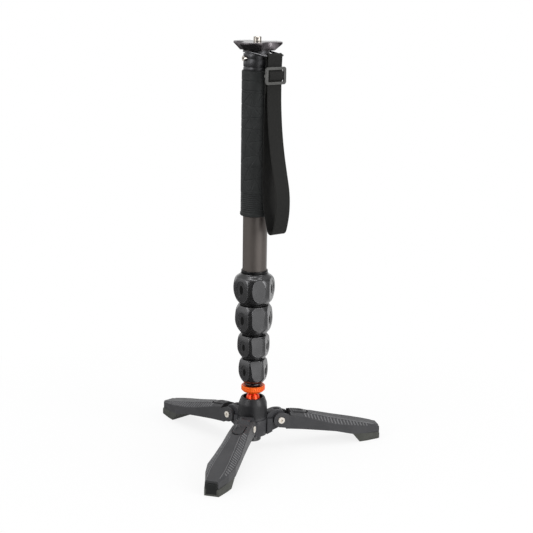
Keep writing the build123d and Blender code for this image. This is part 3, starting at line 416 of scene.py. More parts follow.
def black_anodised(name, colour, rough):
    made, tree, skin = start_finish(name, colour, rough, metal=0.9, coat=0.15, coat_rough=0.08)
    drift(tree, skin, colour, amount=0.12, across=0.02)
    rough_drift(tree, skin, rough - 0.04, rough + 0.06, across=0.006)
    rings = noise_field(tree, finer_ring, detail=1.0)
    tooth(tree, skin, rings, depth=0.00002, strength=0.25)
    return made


# %% [markdown]
# ## Grey tube
#
# The tubes are drawn aluminium in a warm grey. Drawing pulls the metal along its length, so here
# the noise is stretched the other way: short around the tube, long in height.

# %% Grey tube
def grey_tube():
    colour = screen(96, 90, 86)
    made, tree, skin = start_finish("grey_tube", colour, 0.36, metal=0.45)
    drift(tree, skin, colour, amount=0.06, across=(0.012, 0.012, 0.12))
    rough_drift(tree, skin, 0.32, 0.42, across=(0.004, 0.004, 0.05))
    draw_lines = noise_field(tree, (0.0003, 0.0003, 0.03), detail=1.5)
    tooth(tree, skin, draw_lines, depth=0.00001, strength=0.3)
    return made


# %% [markdown]
# ## Orange anodised aluminium
#
# The lock ring and the stem under it are the only colour on the monopod. Anodised orange is a dyed
# clear layer over bright metal, so it is part metal and part paint, and its shadows go deep red.

# %% Orange anodised aluminium
def orange_anodised(name, deep, light, rough, metal):
    made, tree, skin = start_finish(name, light, rough, metal=metal, coat=0.1, coat_rough=0.12)
    field = spread(tree, noise_field(tree, 0.008), 0, 1)
    tree.links.new(two_colours(tree, field, deep, light), skin.inputs["Base Color"])
    rough_drift(tree, skin, rough - 0.05, rough + 0.06, across=0.003)
    rings = noise_field(tree, turned_ring, detail=1.0)
    tooth(tree, skin, rings, depth=0.00002, strength=0.3)
    return made


# %% [markdown]
# ## Dark cast alloy
#
# The hub, its dome and the legs are cast and then coated in a matt dark grey. Such a coat has
# a fine, even grain a few tenths of a millimetre across, and it scatters the light widely.

# %% Dark cast alloy
def dark_alloy(name, colour, rough):
    made, tree, skin = start_finish(name, colour, rough, metal=0.1)
    drift(tree, skin, colour, amount=0.1, across=0.018)
    rough_drift(tree, skin, rough - 0.06, rough + 0.08, across=0.002)
    grain = noise_field(tree, 0.0005, detail=3.0, rough=0.6)
    tooth(tree, skin, grain, depth=0.00005, strength=0.45)
    return made


# %% [markdown]
# ## The head plate
#
# The head plate is turned from solid aluminium and anodised a dark grey. Its top is seen at a
# very flat angle, where even a dark metal turns almost white, so it has to be metal nearly all
# through for the sheen to come by itself. A thin clear coat adds the crisp light on its edge.

# %% Head plate
def plate_alloy():
    colour = screen(92, 87, 90)
    made, tree, skin = start_finish(
        "plate_alloy", colour, 0.34, metal=0.95, coat=0.5, coat_rough=0.12)
    drift(tree, skin, colour, amount=0.08, across=0.01)
    rough_drift(tree, skin, 0.3, 0.4, across=0.003)
    rings = noise_field(tree, turned_ring, detail=1.0)
    tooth(tree, skin, rings, depth=0.00001, strength=0.15)
    return made


# %% [markdown]
# ## Bright steel, spring steel and plain aluminium
#
# Screws and the camera stud are bare metal. Metal has almost no colour of its own apart from its
# reflection, so it is fully metallic, with fine scratches in the roughness. The ends of the pivot
# bolts are small and flat, and some of them face the black side of the room. A full mirror would
# turn those black, so the bolts and their nuts get a paler finish that is about one third metal.

# %% Bare metals
def bare_metal(name, colour, rough, metal=1.0):
    made, tree, skin = start_finish(name, colour, rough, metal=metal)
    drift(tree, skin, colour, amount=0.05, across=0.004)
    rough_drift(tree, skin, rough - 0.06, rough + 0.1, across=(0.0004, 0.003, 0.0004))
    scratches = noise_field(tree, (0.0006, 0.0006, 0.0001))
    tooth(tree, skin, scratches, depth=0.00001, strength=0.3)
    return made


# %% [markdown]
# ## Rubber, nylon and moulded plastic
#
# All three are moulded. Most of the rubber is matt with a deep grain, the seal rings and the nylon
# are smoother, and the buckle's plastic has a satin shine with a leathery texture from its mould.

# %% Moulded materials
def moulded(name, colour, rough, grain_size, grain_depth, gloss=0.5):
    made, tree, skin = start_finish(name, colour, rough)
    set_inputs(skin, {"Specular IOR Level": gloss})
    drift(tree, skin, colour, amount=0.14, across=0.012)
    rough_drift(tree, skin, rough - 0.08, rough + 0.08, across=0.0025)
    grain = noise_field(tree, grain_size, detail=3.0, rough=0.6)
    tooth(tree, skin, grain, grain_depth, strength=0.5)
    return made


# %% [markdown]
# ## Give each part its finish
#
# The parts keep the names they have in the CAD. A small table says which finish goes on which
# part, and a loop swaps the plain material that came with the frame for the real one.

# %% Dress the parts
finishes = {
    "collar": black_anodised("black_anodised", screen(94, 94, 95), 0.24),
    # painted shade: the neck's darker colour stands in for the shade the strap casts on it
    "neck": black_anodised("neck_anodised_shaded", screen(78, 78, 80), 0.4),
    "tube": grey_tube(),
    "orange": orange_anodised("orange_ring", screen(255, 88, 6), screen(255, 112, 20), 0.3, 0.25),
    "stem": orange_anodised("orange_stem", screen(238, 58, 4), screen(252, 76, 10), 0.22, 0.6),
    "hub": dark_alloy("hub_alloy", screen(60, 60, 63), 0.46),
    "dome": dark_alloy("dome_alloy", screen(38, 38, 40), 0.36),
    "leg": dark_alloy("leg_alloy", screen(64, 64, 66), 0.46),
    # painted highlight: the leg's ribs and raised lines are the leg's metal in a paler colour
    "rib": dark_alloy("rib_highlight_alloy", screen(106, 106, 108), 0.4),
    "line": dark_alloy("line_highlight_alloy", screen(104, 104, 106), 0.4),
    # painted highlight: the collar rims are a paler metal than the collar itself
    "rim": bare_metal("rim_highlight_metal", screen(132, 132, 134), 0.3),
    "plate": plate_alloy(),
    "bright": bare_metal("bright_steel", screen(214, 208, 200), 0.26),
    "bolt": bare_metal("bolt_steel", screen(236, 230, 220), 0.42, metal=0.35),
    "spring": bare_metal("spring_steel", screen(150, 150, 152), 0.3),
    "aluminium": bare_metal("plain_aluminium", screen(190, 191, 194), 0.34),
    "wire": bare_metal("dark_wire", screen(120, 120, 122), 0.3),
    "seal": moulded("seal_rubber", screen(12, 12, 13), 0.3, 0.0007, 0.00003, gloss=0.25),
    "shoe": moulded("shoe_rubber", screen(70, 71, 66), 0.72, 0.0007, 0.00014),
    "grip": moulded("grip_rubber", screen(38, 40, 40), 0.55, 0.0005, 0.00006, gloss=0.3),
    # partly painted shade: the dark inlay stands in for the emblem and paints the shade of the dish
    "inlay": moulded("emblem_and_shade_inlay", screen(14, 14, 14), 0.6, 0.0006, 0.00006, gloss=0.15),
    "pad": moulded("tip_pad_rubber", screen(34, 35, 35), 0.62, 0.0006, 0.00008, gloss=0.3),
    "nylon": moulded("black_nylon", screen(36, 36, 38), 0.5, 0.0008, 0.00003),
    "buckle": moulded("buckle_plastic", screen(80, 80, 78), 0.3, 0.0009, 0.00004),
    "button": moulded("button_plastic", screen(52, 52, 54), 0.4, 0.0007, 0.00004),
}


def numbered(name, *numbers):
    return [f"{name}_{number}" for number in numbers]


dressed = {
    "collar": numbered("twist_collar", 1, 2, 3, 4) + ["foot_adaptor", "foot_cap"],
    "neck": ["neck_collar"],
    "tube": numbered("tube", 1, 2, 3, 4, 5),
    "orange": ["lock_ring"],
    "stem": ["ball_stem"],
    "hub": ["hub_spider"],
    "dome": ["hub_dome"],
    "leg": numbered("leg", 1, 2, 3),
    "plate": ["head_plate"],
    "bright": ["camera_stud", "cap_screw", "neck_set_screw"],
    "bolt": ["pivot_bolts", "pivot_nuts"],
    "spring": ["preload_spring"] + numbered("button_spring", 1, 2, 3),
    "aluminium": ["pressure_ring"] + numbered("thread_sleeve", 1, 2, 3, 4),
    "wire": ["strap_ring"],
    "seal": numbered("seal_ring", 1, 2, 3, 4),
    "shoe": numbered("leg_shoe", 1, 2, 3),
    "grip": ["hand_grip"],
    "nylon": ["ball_seat"] + numbered("guide_bush", 2, 3, 4, 5) + numbered("collet", 1, 2, 3, 4),
    "buckle": ["strap_buckle"],
    "button": numbered("release_button", 1, 2, 3),
}


def dress(piece, finish):
    piece.data.materials.clear()
    piece.data.materials.append(finish)


for finish_name, names in dressed.items():
    for name in names:
        dress(part[name], finishes[finish_name])
done = {name for names in dressed.values() for name in names}
print("dressed", len(done), "parts; still to do:", sorted(set(part) - done))

# %% [markdown]
# ## Broken edges
#
# A machined or cast edge is never a perfect knife: it is broken by a fraction of a millimetre, and
# that thin strip is what catches the light. The CAD meshes come with loose seams between their
# faces, so a Weld modifier joins them first and a Bevel modifier then rounds every edge that is
# sharper than a set angle. Both are modifiers, so the CAD mesh itself stays as it was. The collars
# are left out, because their rims are made in the next step.

# %% Break the sharp edges
seam_gap = 0.002 * mm


def break_edges(name, width, sharper_than):
    piece = part[name]
    weld = piece.modifiers.new("join_seams", "WELD")
    weld.merge_threshold = seam_gap
    bevel = piece.modifiers.new("broken_edge", "BEVEL")
    bevel.width = width
    bevel.segments = 2
    bevel.limit_method = "ANGLE"
    bevel.angle_limit = math.radians(sharper_than)
    bevel.harden_normals = True


# names of the parts: width of the broken edge in millimetres, least angle in degrees
broken = (
    (numbered("leg", 1, 2, 3), 0.4, 30),
    (numbered("leg_shoe", 1, 2, 3), 0.8, 30),
    (numbered("release_button", 1, 2, 3), 0.4, 30),
    (["hub_spider"], 0.5, 35),
    (["hub_dome"], 0.5, 25),
    (numbered("seal_ring", 1, 2, 3, 4), 0.3, 40),
    (["neck_collar", "foot_adaptor", "foot_cap"], 0.3, 40),
    (["head_plate"], 0.4, 25),
    (["strap_buckle"], 0.5, 40),
    (["lock_ring"], 0.15, 40),
)
for names, width, sharper_than in broken:
    for name in names:
        break_edges(name, width * mm, sharper_than)
print("edges broken on", sum(len(names) for names, width, sharper_than in broken), "parts")

# %% [markdown]
# ## Rims round the finger flats
#
# The flats on a collar meet its round body at only 15 to 30 degrees. On such a shallow edge a bevel
# hardly shows, yet in the picture each flat has a crisp light rim, where the polishing wheel has
# left a tiny ridge. So the rims are made as shapes of their own: the edges that turn by
# 12 to 38 degrees are picked out of a copy of the collar's mesh, turned into curves, and given
# a round section with a radius of two tenths of a millimetre. Their metal is paler than the
# collar's, a painted highlight that makes the rim show light.

# %% Raise the rims
rim_turns = (12, 38)
rim_outside_share, rim_sunk, rim_bead = 0.66, 0.06 * mm, 0.2 * mm


def flat_rims(number):
    collar = part[f"twist_collar_{number}"]
    shape = bmesh.new()
    shape.from_mesh(collar.data)
    bmesh.ops.remove_doubles(shape, verts=shape.verts, dist=seam_gap)
    shape.normal_update()
    widest = max(v.co.xy.length for v in shape.verts)
    outline = bmesh.new()
    made = {}
    for edge in shape.edges:
        turn = math.degrees(edge.calc_face_angle(0))
        outside = min(v.co.xy.length for v in edge.verts) > rim_outside_share * widest
        if not (rim_turns[0] < turn < rim_turns[1] and outside):
            continue
        for v in edge.verts:
            if v.index not in made:
                made[v.index] = outline.verts.new(v.co - v.normal * rim_sunk)
        outline.edges.new([made[v.index] for v in edge.verts])
    mesh = bpy.data.meshes.new(f"flat_rims_{number}")
    outline.to_mesh(mesh)
    outline.free()
    shape.free()
    rims = new_piece(f"flat_rims_{number}", mesh)
    rims.matrix_world = collar.matrix_world
    for other in bpy.context.selected_objects:
        other.select_set(False)
    rims.select_set(True)
    bpy.context.view_layer.objects.active = rims
    bpy.ops.object.convert(target="CURVE")
    rims.data.bevel_depth = rim_bead
    rims.data.bevel_resolution = 1
    bpy.ops.object.convert(target="MESH")
    rims.data.shade_smooth()
    # the paler rim metal is a painted highlight
    dress(rims, finishes["rim"])
    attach(rims, collar["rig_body"])
    return rims


for number in (1, 2, 3, 4):
    print(f"collar {number} rims have", len(flat_rims(number).data.polygons), "faces")

# %% [markdown]
# ## A dark inlay in each dish
#
# The wide flats of a collar have a shallow oval dish for the fingertip, with a small dark inlay in
# its middle. The inlay is a plain stand-in for the emblem there, and its dark colour is painted
# shade in the hollow of the dish. A ray shot from outside towards the column finds the floor of
# the dish, and a thin oval disc with a sloped rim is laid there. It stands a sixth of a millimetre
# proud.

# %% Lay the inlays
dish_azimuths = (-120, 0, 120)
inlay_tall_share, inlay_wide_share, inlay_sides = 0.15, 0.52, 32
# share of the size, millimetres above the dish
inlay_layers = ((1.0, -0.3), (1.0, 0.06), (0.92, 0.16))


def faces_of(piece):
    """The faces of a part at their place in the world, ready to be hit by rays."""
    there = piece.matrix_world
    points = [there @ v.co for v in piece.data.vertices]
    return BVHTree.FromPolygons(points, [tuple(f.vertices) for f in piece.data.polygons])


def dish_inlays(number):
    collar = part[f"twist_collar_{number}"]
    collar_faces = faces_of(collar)
    low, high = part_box(collar.name)
    tall = inlay_tall_share * (high.z - low.z)
    points, faces = [], []
    for azimuth in dish_azimuths:
        out, side = out_and_side(azimuth)
        eye = out * 50 * mm + Vector((0, 0, (low.z + high.z) / 2))
        floor_of_dish = collar_faces.ray_cast(eye, -out)[0]
        first = len(points)
        for size, proud in inlay_layers:
            for k in range(inlay_sides):
                a = 2 * math.pi * k / inlay_sides
                across = side * math.cos(a) * inlay_wide_share * tall * size
                spot = across + Vector((0, 0, math.sin(a) * tall * size))
                points.append(floor_of_dish + out * proud * mm + spot)
        faces += skin_faces(inlay_sides, len(inlay_layers), first)
    inlays = build_piece(f"dish_inlays_{number}", points, faces)
    # the inlay's dark colour is painted shade in the dish
    dress(inlays, finishes["inlay"])
    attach(inlays, collar["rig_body"])
    return tall


for number in (1, 2, 3, 4):
    print(f"collar {number} has three inlays,", round(2 * dish_inlays(number) / mm, 1), "mm tall")

# %% [markdown]
# ## The ribs on the legs
#
# Each leg has a smooth flat strip down its middle and a sloping side to the left and the right of
# it. The strip is framed by two fine raised lines, and the slopes carry a ladder of small
# cross ribs for the fingers. They are real raised shapes, coloured paler than the leg as a
# painted highlight. A ray is shot straight down on
# the leg at every point of a rib to find how high the metal is there, and the rib is laid on it.
# The widths of the strip and of the leg are known at seven places along it, and np.interp reads
# off every place between them.

# %% A bar that lies on a leg
bar_root, above_the_legs = -0.25 * mm, 0.2


def raised_bar(points, faces, line, half, height, metal):
    """Adds a low rounded bar over a line of plan points, bedded a little into the metal below."""
    shoulder = height * 0.7
    profile = ((-1, bar_root), (-0.7, shoulder), (0, height), (0.7, shoulder), (1, bar_root))
    first, rows = len(points), 0
    for here, ahead in zip(line, line[1:] + [line[-1] * 2 - line[-2]]):
        heading = (ahead - here).normalized()
        aside = Vector((-heading.y, heading.x, 0))
        for w, lift in profile:
            spot = here + aside * half * w
            eye = Vector((spot.x, spot.y, above_the_legs))
            foot = metal.ray_cast(eye, Vector((0, 0, -1)))[0]
            if foot is None:
                return
            points.append(foot + Vector((0, 0, lift)))
        rows += 1
    wide = len(profile)
    for r in range(rows - 1):
        for c in range(wide - 1):
            k = first + r * wide + c
            faces.append((k, k + 1, k + wide + 1, k + wide))
    faces.append(tuple(first + c for c in range(wide))[::-1])
    faces.append(tuple(first + (rows - 1) * wide + c for c in range(wide)))


def relief_piece(name, points, faces, finish, body):
    relief = build_piece(name, points, faces, smooth=True)
    dress(relief, finishes[finish])
    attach(relief, body)
    return relief


print("a bar is bedded", round(-bar_root / mm, 2), "mm deep")

# %% Lay lines and ribs on the legs
leg_turns = {1: -90, 2: 30, 3: 150}
places = np.array([42.0, 59.97, 81.98, 103.05, 124.94, 141.96, 161.0]) * mm
strip_half = np.array([4.25, 5.02, 6.04, 7.14, 8.5, 8.67, 6.8]) * mm
leg_half = np.array([11.3, 12.5, 14.11, 15.98, 17.0, 13.94, 7.9]) * mm
line_places, line_half, line_height = np.arange(73, 157, 2.0) * mm, 0.5 * mm, 0.4 * mm
rib_places, rib_half, rib_height = np.arange(64, 146, 4.2) * mm, 1.0 * mm, 0.8 * mm
rib_slant, gap_to_line, gap_to_edge, shortest_rib = 0.8 * mm, 1.6 * mm, 0.9 * mm, 2.0 * mm
rib_shares = np.linspace(0, 1, 7).tolist()


def half_at(reach, halves):
    return float(np.interp(reach, places, halves))


def leg_relief(number):
    leg = part[f"leg_{number}"]
    out, side = out_and_side(leg_turns[number])
    metal = faces_of(leg)
    lines, ribs = ([], []), ([], [])
    for hand in (-1, 1):
        line = [out * r + side * hand * half_at(r, strip_half) for r in line_places]
        raised_bar(*lines, line, line_half, line_height, metal)
        for r in rib_places:
            inner = half_at(r, strip_half) + gap_to_line
            outer = half_at(r, leg_half) - gap_to_edge
            if outer - inner > shortest_rib:
                bar = []
                for t in rib_shares:
                    aside = side * hand * (inner + (outer - inner) * t)
                    bar.append(out * (r + rib_slant * t) + aside)
                raised_bar(*ribs, bar, rib_half, rib_height, metal)
    relief_piece(f"leg_lines_{number}", *lines, "line", leg["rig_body"])
    return relief_piece(f"leg_ribs_{number}", *ribs, "rib", leg["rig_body"])


for number in leg_turns:
    print(f"leg {number} ribs have", len(leg_relief(number).data.polygons), "faces")

# %% [markdown]
# The tip of each shoe carries a dark rubber pad in a paler frame. It is a slab with rounded
# corners and a narrow bevel, stood upright across the end of the shoe.

# %% Pads on the shoe tips
pad_half, pad_low, pad_high, pad_corner = 6.2 * mm, 2.6 * mm, 15.0 * mm, 1.0 * mm
corner_steps = 4
# share of the size, millimetres from the column's middle
pad_layers = ((1.0, 160.9), (1.0, 162.6), (0.95, 162.8))


def tip_pad(number):
    shoe = part[f"leg_shoe_{number}"]
    out, side = out_and_side(leg_turns[number])
    outline = []
    for sign_s, sign_z, start in ((1, 1, 0), (-1, 1, 90), (-1, -1, 180), (1, -1, 270)):
        for step in range(corner_steps + 1):
            a = math.radians(start + step * 90 / corner_steps)
            outline.append((
                sign_s * (pad_half - pad_corner) + pad_corner * math.cos(a),
                sign_z * ((pad_high - pad_low) / 2 - pad_corner) + pad_corner * math.sin(a),
            ))
    points = []
    for shrink, reach in pad_layers:
        for s, z in outline:
            height = (pad_low + pad_high) / 2 + z * shrink
            points.append(out * reach * mm + side * s * shrink + Vector((0, 0, height)))
    pad = build_piece(f"tip_pad_{number}", points, skin_faces(len(outline), len(pad_layers)))
    dress(pad, finishes["pad"])
    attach(pad, shoe["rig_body"])


for number in leg_turns:
    tip_pad(number)
print("pads stand on the three shoe tips,", round(2 * pad_half / mm, 1), "mm wide")

# %% [markdown]
# ## The springs under the buttons
#
# On the monopod, a release button goes 1.5 mm down and its spring gets shorter by as much.
# Each spring here is a coil of wire wound in the box of the CAD's spring, riding on that
# spring's body, and it keeps its length.

# %% Wind the button springs
spring_wire, coil_radius, coil_turns, wire_sides, coil_steps = 0.3 * mm, 2.2 * mm, 2.5, 8, 60


def wind_spring(number):
    cad_spring = part[f"button_spring_{number}"]
    low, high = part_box(cad_spring.name)
    middle = (low + high) / 2
    climb = high.z - low.z - 2 * spring_wire
    points = []
    for k in range(coil_steps + 1):
        angle = 2 * math.pi * coil_turns * k / coil_steps
        round_out = Vector((math.cos(angle), math.sin(angle), 0))
        axis_point = Vector((middle.x, middle.y, low.z + spring_wire + climb * k / coil_steps))
        for c in range(wire_sides):
            a = 2 * math.pi * c / wire_sides
            round_wire = round_out * math.cos(a) + Vector((0, 0, math.sin(a)))
            points.append(axis_point + round_out * coil_radius + round_wire * spring_wire)
    faces = skin_faces(wire_sides, coil_steps + 1)
    spring = build_piece(f"wound_spring_{number}", points, faces, smooth=True)
    dress(spring, finishes["spring"])
    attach(spring, cad_spring["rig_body"])
    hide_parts(cad_spring.name)
    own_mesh(spring)


for number in leg_turns:
    wind_spring(number)
print("three springs wound, each", coil_turns, "turns")

# %% [markdown]
# ## The hand grip
#
# The grip is a rubber sleeve, pulled over the tube. It has a low lip at its foot, a run of fine
# ribs above that, two shallow bands near the top, and between them a net of narrow channels
# that cut the rubber into uneven triangles. A mould does that, so the sleeve can be built
# as one sheet of points around the tube, where the radius of each point is worked out from its
# place: start from the plain radius and take away what the mould takes away.

# %% Work out the grip's surface
grip_low, grip_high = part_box("hand_grip")
sleeve_radius, lip_radius, lip_height = 17.7 * mm, 18.1 * mm, 4.0 * mm
rib_low, rib_high, rib_step, rib_depth = 295.0 * mm, 320.0 * mm, 2.4 * mm, 0.5 * mm
band_heights, band_half, band_depth = (438.5 * mm, 449.5 * mm), 0.9 * mm, 0.5 * mm
net_low, net_high = 322.0 * mm, 436.0 * mm
channel_half, channel_depth = 0.9 * mm, 0.4 * mm
end_round, end_depth = 1.0 * mm, 0.7 * mm
steps_around, steps_up = 300, 420


def soft_step(value, width):
    """1 on the middle line of a channel and 0 outside it, with a rounded slope."""
    share = np.clip(1 - value / width, 0, 1)
    return share * share * (3 - 2 * share)


def channel_lines(around, up, seed=4, shove_share=0.28):
    """The channels on the unrolled sleeve: a lattice of triangles with its knots pushed about."""
    pick = np.random.default_rng(seed)
    length = 2 * math.pi * sleeve_radius
    knots = {}
    for row in range(up + 1):
        for column in range(around):
            shove = pick.uniform(-shove_share, shove_share, 2)
            s = (column + 0.5 * (row % 2) + shove[0]) * length / around
            z = net_low + (row + (shove[1] if 0 < row < up else 0)) * (net_high - net_low) / up
            knots[row, column] = np.array([s, z])
    lines = []
    for row in range(up + 1):
        for column in range(around):
            here = knots[row, column]
            side = row % 2
            for r, c in [(row, column + 1), (row + 1, column + side), (row + 1, column + side - 1)]:
                if r > up:
                    continue
                there = knots[r, c % around].copy()
                there[0] += length * (c // around)
                lines.append((here, there))
    return lines, length


def nearest_channel(s, z, lines, length):
    """How far each point is from the nearest channel, which may lie across the seam."""
    nearest = np.full(s.shape, 1.0)
    for start, end in lines:
        for lap in (-length, 0, length):
            a = start + (lap, 0)
            along = end - start
            t = np.clip(((s - a[0]) * along[0] + (z - a[1]) * along[1]) / (along @ along), 0, 1)
            apart = np.hypot(s - a[0] - t * along[0], z - a[1] - t * along[1])
            nearest = np.minimum(nearest, apart)
    return nearest


turns = np.linspace(0, 2 * math.pi, steps_around, endpoint=False)
heights = np.linspace(grip_low.z, grip_high.z, steps_up)
turn_grid, height_grid = np.meshgrid(turns, heights)
lines, length = channel_lines(around=7, up=8)
distance = nearest_channel(turn_grid * sleeve_radius, height_grid, lines, length)
radius = np.full(turn_grid.shape, sleeve_radius)
inside_net = (height_grid > net_low) & (height_grid < net_high)
radius -= channel_depth * soft_step(distance, channel_half) * inside_net
in_ribs = (height_grid > rib_low) & (height_grid < rib_high)
rib_wave = 0.5 - 0.5 * np.cos(2 * math.pi * (height_grid - rib_low) / rib_step)
radius -= rib_depth * in_ribs * rib_wave
for band in band_heights:
    radius -= band_depth * soft_step(np.abs(height_grid - band), band_half)
near_end = np.minimum(height_grid - grip_low.z, grip_high.z - height_grid)
radius += (lip_radius - sleeve_radius) * (height_grid < grip_low.z + lip_height)
radius -= end_depth * soft_step(near_end, end_round)
print("grip surface:", radius.size, "points")
print("its radius goes from", round(radius.min() / mm, 2), "to", round(radius.max() / mm, 2), "mm")

# %% [markdown]
# A sheet of points becomes a mesh by joining each point to its neighbours, and the last column to
# the first. The bore and a flat strip round each of its mouths are four more rings, and the last
# ring is joined to the first, so that the sleeve is a closed body with a real wall.

# %% Make the grip
bore_radius, end_strip = 14.55 * mm, 1.5 * mm


def wrap_mesh(name, rings):
    """A closed sleeve from rings of points that run up the outside and back down the inside."""
    points = [tuple(p) for ring in rings for p in ring]
    faces = skin_faces(len(rings[0]), len(rings), wrapped=True)
    return build_piece(name, points, faces, smooth=True)


def ring_at(radii, height, turns):
    return np.stack([radii * np.cos(turns), radii * np.sin(turns), np.full(turns.shape, height)], 1)


grip_rings = [ring_at(radius[row], heights[row], turns) for row in range(steps_up)]
bore = np.full(turns.shape, bore_radius)
ends = ((end_strip, grip_high.z), (0, grip_high.z), (0, grip_low.z), (end_strip, grip_low.z))
grip_rings += [ring_at(bore + widened, height, turns) for widened, height in ends]
grip = wrap_mesh("grip_sleeve", grip_rings)
dress(grip, finishes["grip"])
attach(grip, frame["nodes"]["hand_grip"]["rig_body"])
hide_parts("hand_grip")

# %% [markdown]
# ## The camera stud
#
# The stud is a standard camera screw: 9.525 mm across with 16 threads to the inch, so each turn
# climbs 1.5875 mm. A thread is a groove that winds up around a rod. On a grid of points around
# the rod, its depth depends on how far up we are minus how far round we are, and that one line of
# code makes the helix. The groove is only half a millimetre deep, less than on a real screw,
# because the stud looks nearly smooth in the picture. The slot across the top is cut with
# a Boolean modifier.

# %% Make the threaded stud
stud_low, stud_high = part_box("camera_stud")
plate_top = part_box("head_plate")[1].z
stud_radius, pitch, thread_depth = 4.7625 * mm, 1.5875 * mm, 0.85 * mm
flank_slope, flank_start, top_chamfer = 2.4, 0.6, 0.7 * mm
slot_length, slot_width, slot_depth = 12 * mm, 1.3 * mm, 1.5 * mm
stud_sides, stud_rows, core = 96, 150, (0.05, 0.05, 1)
stud_turns = np.linspace(0, 2 * math.pi, stud_sides, endpoint=False)


def stud_ring(height):
    phase = (height / pitch - stud_turns / (2 * math.pi)) % 1
    groove = np.clip(np.abs(phase - 0.5) * flank_slope - flank_start, 0, 1)
    radii = stud_radius - thread_depth * groove
    room = stud_high.z - height
    radii = np.minimum(radii, stud_radius - top_chamfer + room) if room < top_chamfer else radii
    return ring_at(radii, height, stud_turns)


stud_rings = [stud_ring(z) for z in np.linspace(stud_low.z, stud_high.z, stud_rows)]
stud_rings += [stud_rings[-1] * core, stud_rings[0] * core]
stud = wrap_mesh("stud_thread", stud_rings)
slot_mesh = bmesh.new()
bmesh.ops.create_cube(slot_mesh, size=1)
bmesh.ops.scale(slot_mesh, vec=(slot_length, slot_width, 2 * slot_depth), verts=slot_mesh.verts)
bmesh.ops.translate(slot_mesh, vec=(0, 0, stud_high.z), verts=slot_mesh.verts)
slot_cutter = new_piece("slot_cutter", bpy.data.meshes.new("slot_cutter"))
slot_mesh.to_mesh(slot_cutter.data)
slot_mesh.free()
cut = stud.modifiers.new("screwdriver_slot", "BOOLEAN")
cut.object, cut.operation, cut.solver = slot_cutter, "DIFFERENCE", "EXACT"
bpy.context.view_layer.objects.active = stud
bpy.ops.object.modifier_apply(modifier=cut.name)
bpy.data.objects.remove(slot_cutter)
dress(stud, finishes["bright"])
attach(stud, part["camera_stud"]["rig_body"])
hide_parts("camera_stud")
print("stud stands", round((stud_high.z - plate_top) / mm, 1), "mm out of the plate")

# %% [markdown]
# ## The wrist strap
#
# The strap is one length of flat black webbing, 20 mm wide and 1.4 mm thick. It starts behind the
# buckle, runs down along the grip, turns round at the bottom of its loop, comes up through the
# buckle, goes over the bar of the wire ring and ends behind the buckle again. Webbing bends only
# one way, like a belt, so its whole shape is one line in an upright plane. The line is a smooth
# curve that touches the sides of a few straight runs at their middles, which is how a stiff
# band rounds off its corners. The band is then swept along it with a rounded, slightly thicker rim.

# %% Draw the strap's line
outward, sideways = out_and_side(-37.8)
strap_middle, strap_width, strap_thick = 6.0 * mm, 20.0 * mm, 1.4 * mm
strap_spots = [
    (20.5, 452.0), (20.5, 425.0), (19.2, 395.0), (19.1, 350.0), (19.3, 318.0), (22.4, 298.0),
    (27.6, 283.0), (30.4, 273.4), (38.6, 273.4), (42.4, 284.0), (45.9, 301.0), (45.6, 322.0),
    (40.2, 342.0), (33.2, 368.0), (28.4, 396.0), (26.0, 424.0), (25.8, 441.0), (25.8, 449.4),
    (29.6, 453.4), (29.6, 459.4), (25.8, 464.0), (26.4, 472.0), (26.7, 477.0), (26.7, 481.1),
    (22.3, 481.1), (22.3, 476.0), (22.3, 460.0), (22.3, 436.4),
]


def rounded_line(spots, step, fineness=40):
    """A curve that starts and ends at the first and last spot and rounds off every other one."""
    spots = [np.array(spot) for spot in spots]
    middles = [spots[0]] + [(a + b) / 2 for a, b in zip(spots[1:-2], spots[2:-1])] + [spots[-1]]
    line = []
    for start, corner, end in zip(middles[:-1], spots[1:-1], middles[1:]):
        t = np.linspace(0, 1, fineness, endpoint=False)[:, None]
        line.append(start * (1 - t) ** 2 + corner * 2 * t * (1 - t) + end * t * t)
    line = np.vstack(line + [spots[-1][None]])
    travelled = np.concatenate([[0], np.cumsum(np.linalg.norm(np.diff(line, axis=0), axis=1))])
    count = int(travelled[-1] / step)
    marks = np.linspace(0, travelled[-1], count)
    even = np.stack([np.interp(marks, travelled, line[:, axis]) for axis in (0, 1)], 1)
    return even, travelled[-1]


strap_line, strap_length = rounded_line([(n * mm, z * mm) for n, z in strap_spots], 1.0 * mm)
print("strap is", round(strap_length / mm, 1), "mm long in", len(strap_line), "steps")

# %% Sweep the webbing
# the band's outline, as shares of half its width and half its thickness
upper_side = [
    (-1.0, 0.0), (-0.985, 0.6), (-0.94, 1.0), (-0.88, 0.9), (-0.6, 0.82), (-0.2, 0.86),
    (0.2, 0.86), (0.6, 0.82), (0.88, 0.9), (0.94, 1.0), (0.985, 0.6),
]
section = upper_side + [(1.0, 0.0)] + [(-w, -t) for w, t in upper_side[1:]]


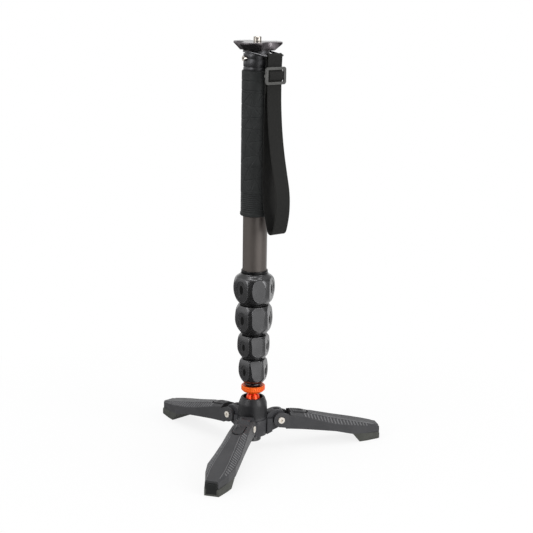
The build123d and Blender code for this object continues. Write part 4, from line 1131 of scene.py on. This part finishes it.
def sweep_webbing(name, line, width, thick, section):
    heading = np.gradient(line, axis=0)
    heading /= np.linalg.norm(heading, axis=1)[:, None]
    across = np.stack([heading[:, 1], -heading[:, 0]], 1)
    points = []
    for spot, lift in zip(line, across):
        for w, t in section:
            reach, height = spot + lift * t * thick / 2
            side = strap_middle + w * width / 2
            points.append(outward * reach + sideways * side + Vector((0, 0, height)))
    count = len(section)
    piece = build_piece(name, points, skin_faces(count, len(line)), smooth=True)
    weave_map = piece.data.uv_layers.new(name="weave_map")
    steps = np.concatenate([[0], np.cumsum(np.linalg.norm(np.diff(line, axis=0), axis=1))])
    for loop in piece.data.loops:
        row, c = divmod(loop.vertex_index, count)
        weave_map.data[loop.index].uv = (section[c][0] * width / 2, steps[row])
    return piece


webbing = sweep_webbing("strap_webbing", strap_line, strap_width, strap_thick, section)
print("webbing has", len(webbing.data.polygons), "faces")

# %% [markdown]
# Flat polyester webbing is woven from thick lengthwise yarns that cross a thin weft. Up close it
# shows small slanted stitches in rows. Two waves that run along and across the band, multiplied,
# give the little pillows of the weave. The colour is painted darker in the channels between them,
# as shade, and lighter on their crowns, as a highlight.

# %% The webbing's finish
yarn_width, weft_step, weft_lean = 0.0013, 0.0011, 0.5


def webbing_finish():
    dark, light = screen(20, 20, 19), screen(52, 52, 50)
    made, tree, skin = start_finish("black_webbing", dark, 0.75)
    set_inputs(skin, {"Specular IOR Level": 0.25})
    place, split = add_nodes(tree, "TexCoord", "SeparateXYZ")
    tree.links.new(place.outputs["UV"], split.inputs["Vector"])
    across, onward = split.outputs["X"], split.outputs["Y"]

    def pillows(turn):
        return calculate(tree, "MULTIPLY_ADD", calculate(tree, "SINE", turn), 0.5, 0.5)

    yarn_turn = calculate(tree, "MULTIPLY", across, 2 * math.pi / yarn_width)
    weft_turn = calculate(tree, "MULTIPLY", onward, 2 * math.pi / weft_step)
    slant = calculate(tree, "MULTIPLY", across, 2 * math.pi / weft_step * weft_lean)
    weft_turn = calculate(tree, "ADD", weft_turn, slant)
    weave = calculate(tree, "MULTIPLY", pillows(yarn_turn), pillows(weft_turn))
    # painted shade in the weave's channels and painted highlight on its pillows
    colour = two_colours(tree, spread(tree, weave, 0, 1, start=0, stop=0.9), dark, light)
    tree.links.new(colour, skin.inputs["Base Color"])
    tooth(tree, skin, weave, depth=0.00018, strength=0.6)
    return made


webbing_black = webbing_finish()
dress(webbing, webbing_black)
dress(part["wrist_strap"], webbing_black)
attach(webbing, part["wrist_strap"]["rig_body"])
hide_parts("wrist_strap")
